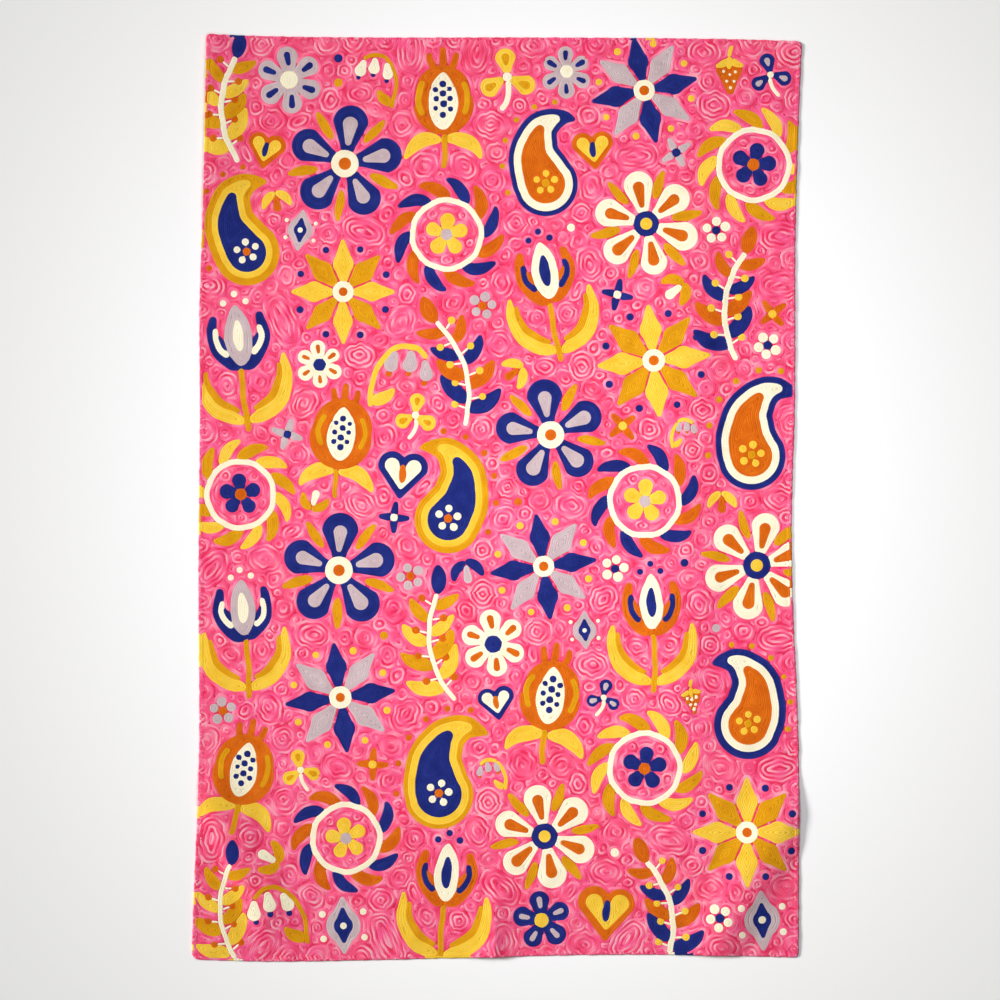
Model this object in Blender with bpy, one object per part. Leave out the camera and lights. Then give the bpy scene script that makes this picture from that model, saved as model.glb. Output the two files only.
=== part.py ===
"""A wool rug of 1.20 by 1.85 m, chain-stitched all over on a cotton ground cloth, with its edges turned under.

The rug is one thin sheet that lies on the surface z = 0 with its long side along Y. Its outline is that of a
handmade rug: each side wanders by some millimetres. Most of it lies flat, and a few soft swells and one
pinched crease, left from hanging and folding, lift it off the surface. Lengths are in metres.
"""

import bmesh
import bpy
import numpy as np
from mathutils import Vector

# Driving dimensions
NOMINAL_WIDTH = 1.200
NOMINAL_LENGTH = 1.850
THICKNESS = 0.004  # cotton ground cloth and one layer of wool chain stitch
EDGE_ROUNDING = 0.0013  # how far the round, turned edge stands out from the two faces

# How far each side stands out from its nominal line.
# Columns: along, the place along the side from the rug's middle; out, outwards from the nominal line.
LEFT_SIDE = (
    (-0.90, 0.015), (-0.72, 0.007), (-0.58, 0.001), (-0.15, 0.001), (0.20, -0.002), (0.41, -0.001),
    (0.55, -0.007), (0.92, -0.015),
)
RIGHT_SIDE = (
    (-0.92, 0.005), (-0.65, 0.006), (-0.44, 0.004), (-0.30, -0.003), (-0.02, -0.009), (0.15, -0.003),
    (0.55, -0.001), (0.83, 0.008), (0.92, 0.012),
)
TOP_SIDE = (
    (-0.60, 0.007), (-0.44, 0.002), (-0.25, 0.000), (0.05, 0.000), (0.38, -0.002), (0.50, -0.004),
    (0.60, -0.007),
)
BOTTOM_SIDE = (
    (-0.60, 0.004), (-0.48, 0.008), (-0.30, 0.006), (-0.09, 0.001), (0.02, -0.002), (0.27, -0.006),
    (0.45, -0.004), (0.60, 0.000),
)
SIDE_POINTS = 18  # points taken along each side

# How far the rounding of each corner reaches along both of its sides.
CORNER_REACH = {"bottom_left": 0.034, "bottom_right": 0.022, "top_right": 0.016, "top_left": 0.012}
CORNER_POINTS = 5

# Soft swells of the sheet. Each is a low ridge whose crest runs from one place to another.
# Columns: name, from_x, from_y, to_x, to_y, rise, left (its width left of the crest, seen along it), right.
SWELLS = (
    ("right_corner", 0.425, -0.935, 0.600, -0.600, 0.0070, 0.085, 0.080),
    ("left_corner", -0.600, -0.560, -0.455, -0.870, 0.0065, 0.085, 0.060),
    ("right_long", 0.360, -0.520, 0.385, 0.520, 0.0045, 0.120, 0.100),
    ("top_left_edge", -0.595, 0.560, -0.590, 0.925, 0.0050, 0.060, 0.110),
)
SWELL_FADE = 0.30  # the share of a crest's length over which it rises at each end, half of it past that end

# The crease pinched at the bottom side: it rises from nothing to its full height at that side.
CREASE_X = -0.005
CREASE_TOP_Y = -0.735
CREASE_BOTTOM_Y = -0.925
CREASE_RISE = 0.0095
CREASE_LEFT = 0.105
CREASE_RIGHT = 0.068
CREASE_SHARPNESS = 1.8  # 1 would give straight flanks, and more a sharper crest with a softer foot

# The lines that the sheet is divided along, which carry its swells and its crease.
GRID_STEP = 0.042
CREASE_LINES = (-0.095, -0.065, -0.040, -0.022, -0.009, 0.000, 0.007, 0.016, 0.028, 0.044, 0.064)
CUT_TOLERANCE = 1e-6
LEAST_LIFT = 0.00002  # less than this counts as flat


def smooth_step(share):
    """0 to 1 with level ends, for shares from 0 to 1."""
    share = np.clip(share, 0.0, 1.0)
    return share * share * (3.0 - 2.0 * share)


def through(table, places):
    """The smooth curve through a side's table, read at these places along the side."""
    along = np.array([row[0] for row in table])
    out = np.array([row[1] for row in table])
    slope = np.gradient(out, along)
    places = np.clip(places, along[0], along[-1])
    index = np.clip(np.searchsorted(along, places) - 1, 0, len(along) - 2)
    step = along[index + 1] - along[index]
    t = (places - along[index]) / step
    start = (1 + 2 * t) * (1 - t) ** 2 * out[index] + t * (1 - t) ** 2 * step * slope[index]
    end = t * t * (3 - 2 * t) * out[index + 1] + t * t * (t - 1) * step * slope[index + 1]
    return start + end


def trimmed(side, start, end, start_reach, end_reach):
    """The points of a side that lie clear of the roundings of the two corners that it runs between."""
    length = np.linalg.norm(end - start)
    along = (side - start) @ (end - start) / length
    return side[(along > start_reach) & (along < length - end_reach)]


def corner_curve(corner, before, after, reach):
    """A round corner, which leaves one side and joins the next at this reach from where the two would meet."""
    back = (before - corner) / np.linalg.norm(before - corner)
    forth = (after - corner) / np.linalg.norm(after - corner)
    t = np.linspace(0.0, 1.0, CORNER_POINTS)[:, None]
    return corner + reach * ((1 - t) ** 2 * back + t**2 * forth)


def outline():
    """The outline of the rug's two faces as points, anticlockwise from its bottom left corner."""
    half_width = NOMINAL_WIDTH / 2 - EDGE_ROUNDING
    half_length = NOMINAL_LENGTH / 2 - EDGE_ROUNDING
    across = np.linspace(-half_width, half_width, SIDE_POINTS)
    up = np.linspace(-half_length, half_length, SIDE_POINTS)
    bottom = np.column_stack([across, -half_length - through(BOTTOM_SIDE, across)])
    right = np.column_stack([half_width + through(RIGHT_SIDE, up), up])
    top = np.column_stack([across, half_length + through(TOP_SIDE, across)])[::-1]
    left = np.column_stack([-half_width - through(LEFT_SIDE, up), up])[::-1]
    corners = {
        "bottom_left": np.array([left[-1, 0], bottom[0, 1]]),
        "bottom_right": np.array([right[0, 0], bottom[-1, 1]]),
        "top_right": np.array([right[-1, 0], top[0, 1]]),
        "top_left": np.array([left[0, 0], top[-1, 1]]),
    }
    sides = [bottom, right, top, left]
    names = list(corners)
    for index, (name, following) in enumerate(zip(names, names[1:] + names[:1])):
        reaches = CORNER_REACH[name], CORNER_REACH[following]
        sides[index] = trimmed(sides[index], corners[name], corners[following], *reaches)
    points = []
    for index, (name, corner) in enumerate(corners.items()):
        points.append(corner_curve(corner, sides[index - 1][-1], sides[index][0], CORNER_REACH[name]))
        points.append(sides[index])
    return np.concatenate(points)


def swell_lift(x, y):
    """How far the soft swells lift the sheet at these places."""
    total = np.zeros_like(x)
    for _name, from_x, from_y, to_x, to_y, rise, left, right in SWELLS:
        run_x, run_y = to_x - from_x, to_y - from_y
        length = np.hypot(run_x, run_y)
        share = ((x - from_x) * run_x + (y - from_y) * run_y) / length**2
        leftwards = ((y - from_y) * run_x - (x - from_x) * run_y) / length
        ends = smooth_step(0.5 + share / SWELL_FADE) * smooth_step(0.5 + (1 - share) / SWELL_FADE)
        width = np.where(leftwards > 0, left, right)
        profile = np.clip(1 - (leftwards / width) ** 2, 0, None) ** 2
        total = np.maximum(total, rise * ends * profile)
    return total


def crease_lift(x, y):
    """How far the crease lifts the sheet at these places."""
    share = smooth_step((CREASE_TOP_Y - y) / (CREASE_TOP_Y - CREASE_BOTTOM_Y))
    width = np.where(x < CREASE_X, CREASE_LEFT, CREASE_RIGHT)
    profile = np.clip(1 - np.abs(x - CREASE_X) / width, 0, None) ** CREASE_SHARPNESS
    return CREASE_RISE * share * profile


def lift(x, y):
    """The height of the sheet's underside above the surface that the rug lies on."""
    height = np.maximum(swell_lift(x, y), crease_lift(x, y))
    return np.where(height < LEAST_LIFT, 0.0, height)


def cut(mesh, place, normal):
    """Divides the flat sheet along the line through a place, across the normal."""
    geometry = mesh.verts[:] + mesh.edges[:] + mesh.faces[:]
    bmesh.ops.bisect_plane(mesh, geom=geometry, dist=CUT_TOLERANCE, plane_co=place, plane_no=normal)


def underside(points):
    """The underside of the rug, facing down: its outline, divided by a grid and lifted where it swells."""
    mesh = bmesh.new()
    mesh.faces.new([mesh.verts.new((x, y, 0.0)) for x, y in points[::-1]])
    low, high = points.min(axis=0), points.max(axis=0)
    for x in np.arange(low[0] + GRID_STEP, high[0] - GRID_STEP / 2, GRID_STEP):
        if not CREASE_LINES[0] - GRID_STEP / 2 < x - CREASE_X < CREASE_LINES[-1] + GRID_STEP / 2:
            cut(mesh, (x, 0, 0), (1, 0, 0))
    for off in CREASE_LINES:
        cut(mesh, (CREASE_X + off, 0, 0), (1, 0, 0))
    for y in np.arange(low[1] + GRID_STEP, high[1] - GRID_STEP / 2, GRID_STEP):
        cut(mesh, (0, y, 0), (0, 1, 0))
    bmesh.ops.triangulate(mesh, faces=mesh.faces[:])
    places = np.array([vertex.co[:] for vertex in mesh.verts])
    for vertex, height in zip(mesh.verts, lift(places[:, 0], places[:, 1])):
        vertex.co.z = height
    return mesh


def rim_directions(rim):
    """The way out of the rug, level, at each point of its underside's rim."""
    outwards = {vertex: Vector((0, 0, 0)) for edge in rim for vertex in edge.verts}
    for edge in rim:
        (loop,) = edge.link_loops
        along = loop.link_loop_next.vert.co - loop.vert.co
        for vertex in edge.verts:
            outwards[vertex] += Vector((-along.y, along.x, 0)).normalized()
    return {vertex: direction.normalized() for vertex, direction in outwards.items()}


def thicken(mesh):
    """Adds the rug's stitched face above its underside, and the round edge that joins the two."""
    rim = [edge for edge in mesh.edges if edge.is_boundary]
    outwards = rim_directions(rim)
    upper = {vertex: mesh.verts.new(vertex.co + Vector((0, 0, THICKNESS))) for vertex in mesh.verts[:]}
    for face in mesh.faces[:]:
        mesh.faces.new([upper[vertex] for vertex in reversed(face.verts)])
    middle = {
        vertex: mesh.verts.new(vertex.co + Vector((0, 0, THICKNESS / 2)) + EDGE_ROUNDING * direction)
        for vertex, direction in outwards.items()
    }
    for edge in rim:
        (loop,) = edge.link_loops
        start, end = loop.vert, loop.link_loop_next.vert
        mesh.faces.new((end, start, middle[start], middle[end]))
        mesh.faces.new((middle[end], middle[start], upper[start], upper[end]))


def wool():
    """Hot pink chain-stitched wool, seen as one colour."""
    material = bpy.data.materials.new("wool")
    material.use_nodes = True
    shader = material.node_tree.nodes["Principled BSDF"]
    shader.inputs["Base Color"].default_value = (0.94, 0.12, 0.27, 1.0)
    shader.inputs["Roughness"].default_value = 0.95
    shader.inputs["Metallic"].default_value = 0.0
    return material


def rug():
    """The rug, one closed sheet with the middle of its outline over the origin."""
    points = outline()
    middle = (points.min(axis=0) + points.max(axis=0)) / 2
    sheet = underside(points)
    thicken(sheet)
    bmesh.ops.translate(sheet, verts=sheet.verts[:], vec=(-middle[0], -middle[1], 0.0))
    data = bpy.data.meshes.new("rug")
    sheet.to_mesh(data)
    sheet.free()
    data.materials.append(wool())
    bpy.context.scene.collection.objects.link(bpy.data.objects.new("rug", data))


def main():
    """Clears the scene and makes the rug."""
    for old in list(bpy.data.objects):
        bpy.data.objects.remove(old)
    rug()


main()
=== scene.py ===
"""Looks of the wool rug: rows of wool chain stitch, worked by hand over a cotton ground cloth.

The design is a list of strokes, each a patch of one yarn bounded by round-ended bands. A fine map of the rug
says which stroke every place belongs to and how deep inside it that place lies. The rows of stitches follow
the lines of equal depth, so they hug every edge and curl up in the roundels of the pink ground. Each row is a
real strip of chain stitches. Lengths are in metres, with the rug's middle over the origin, as in its solid.
"""

import logging
import math
from collections.abc import Callable, Iterable
from dataclasses import dataclass, field, replace
from enum import Enum
from functools import partialmethod

import bpy
import numpy as np
from bpy.types import ID, Material, Mesh, NodeSocket, Object
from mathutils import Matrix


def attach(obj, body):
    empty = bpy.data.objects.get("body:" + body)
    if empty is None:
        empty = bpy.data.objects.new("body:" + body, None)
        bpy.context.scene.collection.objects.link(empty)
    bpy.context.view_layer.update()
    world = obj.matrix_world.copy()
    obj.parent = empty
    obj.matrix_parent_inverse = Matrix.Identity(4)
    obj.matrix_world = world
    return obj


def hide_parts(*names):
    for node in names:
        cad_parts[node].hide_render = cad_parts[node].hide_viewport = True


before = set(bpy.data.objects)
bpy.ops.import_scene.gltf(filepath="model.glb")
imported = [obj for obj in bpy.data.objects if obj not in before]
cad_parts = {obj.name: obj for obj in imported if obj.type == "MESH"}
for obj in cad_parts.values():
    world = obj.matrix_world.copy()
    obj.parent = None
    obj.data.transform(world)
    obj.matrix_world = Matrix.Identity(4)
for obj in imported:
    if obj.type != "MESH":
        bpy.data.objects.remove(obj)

log = logging.getLogger("wool rug")

Array = np.ndarray
Place = tuple[float, float]
Table = tuple[Place, ...]
Colour = tuple[int, int, int]  # its red, green and blue, from 0 to 255
Wave = tuple[float, float, float, float]  # its height, its turns across and along the rug, and its start

# Rows of stitches
PITCH = 0.0043  # the widest that a row gets before another is fitted in
STITCH = 0.0062  # one chain stitch along its row
LINE_RADIUS = 0.0022  # half the width of a line that is one row alone
LEAST_RADIUS = 0.0033  # a narrower patch than this can't be filled with rows on both sides of its middle
EDGE_HEIGHT = 0.0031  # of a row's two edges above the cloth's underside
CREST_HEIGHT = 0.0037  # of its crest in the middle of a stitch
JOINT_HEIGHT = 0.0035  # of its crest where one stitch is caught by the next
JOINT_PINCH = 0.95  # width at a joint, as a share of the stitch's own
OVERLAP = 0.00020  # how far the wool of a row spreads over its neighbour
RIDGE_OVERLAP = 0.00045  # the same where the innermost rows of a patch meet
PADDING_HEIGHT = 0.00285  # of the wool that lies under the rows of a figure
PADDING_INSET = 0.0017  # how far it stays inside the figure's border
PADDING_CELLS = 3  # cells of the map to one strip of it
STRIP_CELLS = 12  # the most cells along a strip
SHORTEST_LOOP = 0.0050  # of a row. What is shorter is left out

# The row that wraps the rug's edge. Columns: how far out of the outline, height above the cloth's underside,
# and the share of the edge's unevenness that it takes on.
HEM_PROFILE: tuple[tuple[float, float, float], ...] = (
    (-0.0010, 0.0002, 0.0), (0.0008, 0.0005, 1.0), (0.0013, 0.0016, 1.0), (0.0009, 0.0029, 1.0),
    (-0.0009, 0.0037, 0.6), (-0.0037, 0.0031, 0.0),
)
HEM_ROW = 0.0030  # how far it reaches over the stitched face

# The map
CELL = 0.00135
MAP_MARGIN = 0.010  # of cells outside the rug
REACH = 0.064  # how far from a stroke the map knows its distance

SEED = 20


def smooth_step(share: Array) -> Array:
    """0 to 1 with level ends, for shares from 0 to 1."""
    share = np.clip(share, 0.0, 1.0)
    return share * share * (3.0 - 2.0 * share)


def polar(angle: float, distance: float) -> Place:
    """The place at this angle, in degrees from +X, and this distance from the origin."""
    return (distance * math.cos(math.radians(angle)), distance * math.sin(math.radians(angle)))


def ripple(x: Array, y: Array, *waves: Wave) -> Array:
    """The sum of some waves at these places of the rug."""
    return sum(height * np.sin(across * x + along * y + start) for height, across, along, start in waves)


class Yarn(Enum):
    """The wools of the rug. The value names the piece that holds this wool's rows."""

    ROSE = "rows_rose"
    ROSE_WARM = "rows_rose_warm"
    ROSE_LIGHT = "rows_rose_light"
    ROSE_PALE = "rows_rose_pale"
    ROSE_DEEP = "rows_rose_deep"
    CREAM = "rows_cream"
    CORN = "rows_corn"
    OCHRE = "rows_ochre"
    NAVY = "rows_navy"
    RUST = "rows_rust"
    LILAC = "rows_lilac"


# The wools of the figures
CREAM, CORN, OCHRE, NAVY, RUST, LILAC = Yarn.CREAM, Yarn.CORN, Yarn.OCHRE, Yarn.NAVY, Yarn.RUST, Yarn.LILAC

# The pinks of the ground, each with the tone that it reaches up to. Tones go from -1, deep, to 1, pale.
PINKS = (
    (Yarn.ROSE_DEEP, -0.60), (Yarn.ROSE_WARM, -0.25), (Yarn.ROSE, 0.25), (Yarn.ROSE_LIGHT, 0.60),
    (Yarn.ROSE_PALE, 9.0),
)


@dataclass(frozen=True)
class RugForm:
    """The outline of the rug, which is that of its solid, and the way it lies."""

    width: float = 1.200
    length: float = 1.850
    edge_rounding: float = 0.0013
    side_points: int = 18
    corner_points: int = 5
    # How far each side stands out from its nominal line, along that side.
    left: Table = (
        (-0.90, 0.015), (-0.72, 0.007), (-0.58, 0.001), (-0.15, 0.001), (0.20, -0.002), (0.41, -0.001),
        (0.55, -0.007), (0.92, -0.015),
    )
    right: Table = (
        (-0.92, 0.005), (-0.65, 0.006), (-0.44, 0.004), (-0.30, -0.003), (-0.02, -0.009), (0.15, -0.003),
        (0.55, -0.001), (0.83, 0.008), (0.92, 0.012),
    )
    top: Table = (
        (-0.60, 0.007), (-0.44, 0.002), (-0.25, 0.000), (0.05, 0.000), (0.38, -0.002), (0.50, -0.004),
        (0.60, -0.007),
    )
    bottom: Table = (
        (-0.60, 0.004), (-0.48, 0.008), (-0.30, 0.006), (-0.09, 0.001), (0.02, -0.002), (0.27, -0.006),
        (0.45, -0.004), (0.60, 0.000),
    )
    # How far the rounding of each corner reaches: bottom left, bottom right, top right, top left.
    corner_reach: tuple[float, ...] = (0.016, 0.008, 0.010, 0.006)
    solid_corner_reach: tuple[float, ...] = (0.034, 0.022, 0.016, 0.012)
    # Soft swells, up to 2 mm fuller than in the solid. Columns: from_x, from_y, to_x, to_y, rise, and the
    # width of the ridge to the left and to the right of its crest.
    swells: tuple[tuple[float, ...], ...] = (
        (0.425, -0.935, 0.600, -0.600, 0.0090, 0.085, 0.068),
        (-0.600, -0.560, -0.455, -0.870, 0.0080, 0.085, 0.046),
        (0.360, -0.520, 0.385, 0.520, 0.0055, 0.120, 0.100),
        (-0.595, 0.560, -0.590, 0.925, 0.0065, 0.060, 0.110),
    )
    swell_fade: float = 0.30  # the share of a crest's length over which it rises at each end
    crease_x: float = -0.005
    crease_top: float = -0.735
    crease_bottom: float = -0.925
    crease_rise: float = 0.0095
    crease_left: float = 0.105
    crease_right: float = 0.068
    crease_sharpness: float = 1.8  # 1 would give straight flanks

    @staticmethod
    def through(table: Table, places: Array) -> Array:
        """The smooth curve through a side's table.

        Args:
            table: Places along the side, each with how far the side stands out there.
            places: Places along the side to read the curve at.

        Returns:
            How far the side stands out at each place.
        """
        along = np.array([row[0] for row in table])
        out = np.array([row[1] for row in table])
        slope = np.gradient(out, along)
        places = np.clip(places, along[0], along[-1])
        index = np.clip(np.searchsorted(along, places) - 1, 0, len(along) - 2)
        step = along[index + 1] - along[index]
        t = (places - along[index]) / step
        start = (1 + 2 * t) * (1 - t) ** 2 * out[index] + t * (1 - t) ** 2 * step * slope[index]
        end = t * t * (3 - 2 * t) * out[index + 1] + t * t * (t - 1) * step * slope[index + 1]
        return start + end

    def sides(self, reach: tuple[float, ...]) -> list[Array]:
        """The four sides and their corners, anticlockwise from the bottom left corner, before centring.

        Args:
            reach: How far the rounding of each corner reaches.

        Returns:
            Eight lists of points: a corner's rounding, the side after it, and so on.
        """
        half_width = self.width / 2 - self.edge_rounding
        half_length = self.length / 2 - self.edge_rounding
        across = np.linspace(-half_width, half_width, self.side_points)
        up = np.linspace(-half_length, half_length, self.side_points)
        sides = [
            np.column_stack([across, -half_length - self.through(self.bottom, across)]),
            np.column_stack([half_width + self.through(self.right, up), up]),
            np.column_stack([across, half_length + self.through(self.top, across)])[::-1],
            np.column_stack([-half_width - self.through(self.left, up), up])[::-1],
        ]
        bottom, right, top, left = sides
        corners = np.array([
            (left[-1, 0], bottom[0, 1]), (right[0, 0], bottom[-1, 1]),
            (right[-1, 0], top[0, 1]), (left[0, 0], top[-1, 1]),
        ])
        for index, side in enumerate(sides):
            start, end = corners[index], corners[(index + 1) % 4]
            length = np.linalg.norm(end - start)
            along = (side - start) @ (end - start) / length
            sides[index] = side[(along > reach[index]) & (along < length - reach[(index + 1) % 4])]
        parts = []
        for index, (corner, rounding) in enumerate(zip(corners, reach)):
            back = sides[index - 1][-1] - corner
            forth = sides[index][0] - corner
            t = np.linspace(0.0, 1.0, self.corner_points)[:, None]
            back, forth = back / np.linalg.norm(back), forth / np.linalg.norm(forth)
            parts.append(corner + rounding * ((1 - t) ** 2 * back + t**2 * forth))
            parts.append(sides[index])
        return parts

    def middle(self) -> Array:
        """Where the middle of the solid's outline lies before centring."""
        points = np.concatenate(self.sides(self.solid_corner_reach))
        return (points.min(axis=0) + points.max(axis=0)) / 2

    def outline(self) -> Array:
        """The outline of the rug's faces, anticlockwise, with its middle at the origin."""
        return np.concatenate(self.sides(self.corner_reach)) - self.middle()

    def quarters(self) -> list[Array]:
        """Parts the outline in the middle of each corner.

        Returns:
            Four curves, each with the side between two corners.
        """
        parts = self.sides(self.corner_reach)
        half = self.corner_points // 2
        curves = []
        for index in range(0, 8, 2):
            corner, side, following = parts[index], parts[index + 1], parts[(index + 2) % 8]
            curves.append(np.concatenate([corner[half:], side, following[: half + 1]]) - self.middle())
        return curves

    def lift(self, x: Array, y: Array) -> Array:
        """The height of the sheet's underside above the surface it lies on.

        Args:
            x: Places across the rug.
            y: Places along it.

        Returns:
            The lift at each place, nothing over most of the rug.
        """
        middle = self.middle()
        x, y = x + middle[0], y + middle[1]
        total = np.zeros_like(x)
        for from_x, from_y, to_x, to_y, rise, left, right in self.swells:
            run_x, run_y = to_x - from_x, to_y - from_y
            length = math.hypot(run_x, run_y)
            share = ((x - from_x) * run_x + (y - from_y) * run_y) / length**2
            leftwards = ((y - from_y) * run_x - (x - from_x) * run_y) / length
            ends = smooth_step(0.5 + share / self.swell_fade)
            ends = ends * smooth_step(0.5 + (1 - share) / self.swell_fade)
            profile = np.clip(1 - (leftwards / np.where(leftwards > 0, left, right)) ** 2, 0, None) ** 2
            total = np.maximum(total, rise * ends * profile)
        share = smooth_step((self.crease_top - y) / (self.crease_top - self.crease_bottom))
        width = np.where(x < self.crease_x, self.crease_left, self.crease_right)
        flank = np.clip(1 - np.abs(x - self.crease_x) / width, 0, None) ** self.crease_sharpness
        return np.maximum(total, self.crease_rise * share * flank)


@dataclass
class Stroke:
    """One patch of one yarn: everything that its round-ended bands cover."""

    yarn: Yarn
    bands: list[tuple[Array, Array]]
    single: bool = False  # one row of stitches along its spine, and nothing else

    def moved(self, matrix: Array, shift: Array, scale: float) -> "Stroke":
        """This stroke turned by a matrix, scaled and shifted."""
        bands = [(points @ matrix.T * scale + shift, radii * scale) for points, radii in self.bands]
        return replace(self, bands=bands)

    def fitted(self) -> "Stroke":
        """This stroke with no band too narrow for its rows."""
        limits = (LINE_RADIUS, LINE_RADIUS) if self.single else (LEAST_RADIUS, None)
        return replace(self, bands=[(points, np.clip(radii, *limits)) for points, radii in self.bands])

    def box(self) -> tuple[Array, Array]:
        """The lowest and highest corner of everything it covers."""
        low = np.min([(points - radii[:, None]).min(axis=0) for points, radii in self.bands], axis=0)
        return low, np.max([(points + radii[:, None]).max(axis=0) for points, radii in self.bands], axis=0)

    def distance(self, x: Array, y: Array) -> Array:
        """How far places lie outside the stroke.

        Args:
            x: Places across the rug.
            y: Places along it.

        Returns:
            Distances, below zero inside.
        """
        best = np.full(np.broadcast(x, y).shape, np.inf, dtype=np.float32)
        for points, radii in self.bands:
            for index in range(max(1, len(points) - 1)):
                start, end = points[index], points[min(index + 1, len(points) - 1)]
                run = end - start
                square = float(run @ run) + 1e-12
                share = np.clip(((x - start[0]) * run[0] + (y - start[1]) * run[1]) / square, 0, 1)
                radius = radii[index] + share * (radii[min(index + 1, len(radii) - 1)] - radii[index])
                away = np.hypot(x - start[0] - share * run[0], y - start[1] - share * run[1]) - radius
                np.minimum(best, away, out=best)
        return best


def bowed(start: Place, end: Place, sag: float, count: int = 13) -> Array:
    """Points along a shallow bow.

    Args:
        start: Where it starts.
        end: Where it ends.
        sag: How far its middle stands out to the left, as a share of its length.
        count: How many points.

    Returns:
        The points, one to a row.
    """
    t = np.linspace(0.0, 1.0, count)[:, None]
    run = np.subtract(end, start)
    return np.asarray(start) + run * t + np.array([-run[1], run[0]]) * 4 * t * (1 - t) * sag


def petal(yarn: Yarn, start: Place, end: Place, near: float, far: float, sag: float = 0.0) -> Stroke:
    """A club-shaped patch whose radius goes from near to far."""
    count = 13 if sag else 2
    return Stroke(yarn, [(bowed(start, end, sag, count), np.linspace(near, far, count))])


# The half width of a leaf along it, as a share of its greatest. The powers below 1 make the leaf full.
LEAF_SHAPE = np.sin(math.pi * np.linspace(0.0, 1.0, 15) ** 0.85) ** 0.85


def leaf(yarn: Yarn, start: Place, end: Place, half_width: float, sag: float = 0.0) -> Stroke:
    """An almond-shaped patch, widest a little before its middle."""
    radii = LEAST_RADIUS + (half_width - LEAST_RADIUS) * LEAF_SHAPE
    return Stroke(yarn, [(bowed(start, end, sag, len(radii)), radii)])


def fan(
    yarn: Yarn, angles: Iterable[float], start: float, end: float, near: float, far: float
) -> list[Stroke]:
    """Petals at these angles, each from one distance to another, whose radii go from near to far."""
    return [petal(yarn, polar(angle, start), polar(angle, end), near, far) for angle in angles]


def dot(yarn: Yarn, centre: Place, radius: float) -> Stroke:
    """A round patch."""
    return Stroke(yarn, [(np.array([centre], dtype=float), np.array([radius]))])


def dots(yarn: Yarn, centres: Iterable[Place], radius: float) -> list[Stroke]:
    """Round patches of one size."""
    return [dot(yarn, centre, radius) for centre in centres]


def rounded(points: Array) -> Array:
    """Rounds the corners of a line by cutting them off, and then the corners that this leaves.

    Args:
        points: The line.

    Returns:
        The rounder line.
    """
    for _ in range(2):
        before, after = points[:-1], points[1:]
        cuts = np.stack([0.75 * before + 0.25 * after, 0.25 * before + 0.75 * after], axis=1)
        points = np.vstack([points[:1], cuts.reshape(-1, 2), points[-1:]])
    return points


def stem(yarn: Yarn, points: Array, radius: float = 0.0040) -> Stroke:
    """A line as thick as two rows."""
    return Stroke(yarn, [(points, np.full(len(points), radius))])


def thread(yarn: Yarn, points: Array) -> Stroke:
    """A line of one row."""
    return Stroke(yarn, [(points, np.full(len(points), LINE_RADIUS))], single=True)


def diamond(yarn: Yarn, start: Place, end: Place, half_width: float) -> Stroke:
    """A lozenge between two tips."""
    middle, tip = (np.asarray(start) + np.asarray(end)) / 2, LEAST_RADIUS
    return Stroke(yarn, [(np.array([start, middle, end]), np.array([tip, half_width, tip]))])


def ring(yarn: Yarn, radius: float, half_width: float) -> Stroke:
    """A closed ring round the origin."""
    points = np.array([polar(angle, radius) for angle in range(0, 361, 5)])
    return Stroke(yarn, [(points, np.full(len(points), half_width))])


def both_sides(strokes: list[Stroke]) -> list[Stroke]:
    """These strokes and their mirror images."""
    mirror = np.diag([-1.0, 1.0])
    return strokes + [stroke.moved(mirror, np.zeros(2), 1.0) for stroke in strokes]


@dataclass(frozen=True)
class Motif:
    """A figure of the design, upright round the origin, in up to five yarns."""

    yarns: tuple[Yarn, ...]

    def strokes(self) -> list[Stroke]:
        """The motif's strokes, the lowest first."""
        raise NotImplementedError

    def reach(self) -> float:
        """How far the motif reaches from its middle."""
        bands = [band for stroke in self.strokes() for band in stroke.bands]
        return max(float((np.linalg.norm(points, axis=1) + radii).max()) for points, radii in bands)

    def placed(self, spot: Place, turn: float, scale: float, mirrored: bool) -> list[Stroke]:
        """The motif put down on the rug.

        Args:
            spot: Where its middle goes.
            turn: How far it is turned to the left, in degrees.
            scale: How much it is enlarged.
            mirrored: Whether it is mirrored first.

        Returns:
            Its strokes in the rug's frame.
        """
        cosine, sine = math.cos(math.radians(turn)), math.sin(math.radians(turn))
        matrix = np.array([[cosine, -sine], [sine, cosine]])
        if mirrored:
            matrix = matrix @ np.diag([-1.0, 1.0])
        return [stroke.moved(matrix, np.asarray(spot), scale) for stroke in self.strokes()]


@dataclass(frozen=True)
class LayeredFlower(Motif):
    """A round flower of broad petals, each with a smaller one laid on it."""

    petals: int = 5

    def strokes(self) -> list[Stroke]:
        """Sepals, petals, inner petals, and the eye.

        Returns:
            Its strokes.
        """
        outer, inner, eye, pupil, sepal = self.yarns
        angles = [90 + 360 * index / self.petals for index in range(self.petals)]
        between = [angle + 180 / self.petals for angle in angles]
        wide = 0.135 / self.petals
        return (
            [leaf(sepal, polar(angle, 0.046), polar(angle, 0.088), 0.0075) for angle in between]
            + fan(outer, angles, 0.026, 0.062, wide * 0.42, wide)
            + fan(inner, angles, 0.032, 0.060, 0.0045, wide * 0.42)
            + [dot(eye, (0, 0), 0.021), dot(pupil, (0, 0), 0.0095)]
        )


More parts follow.
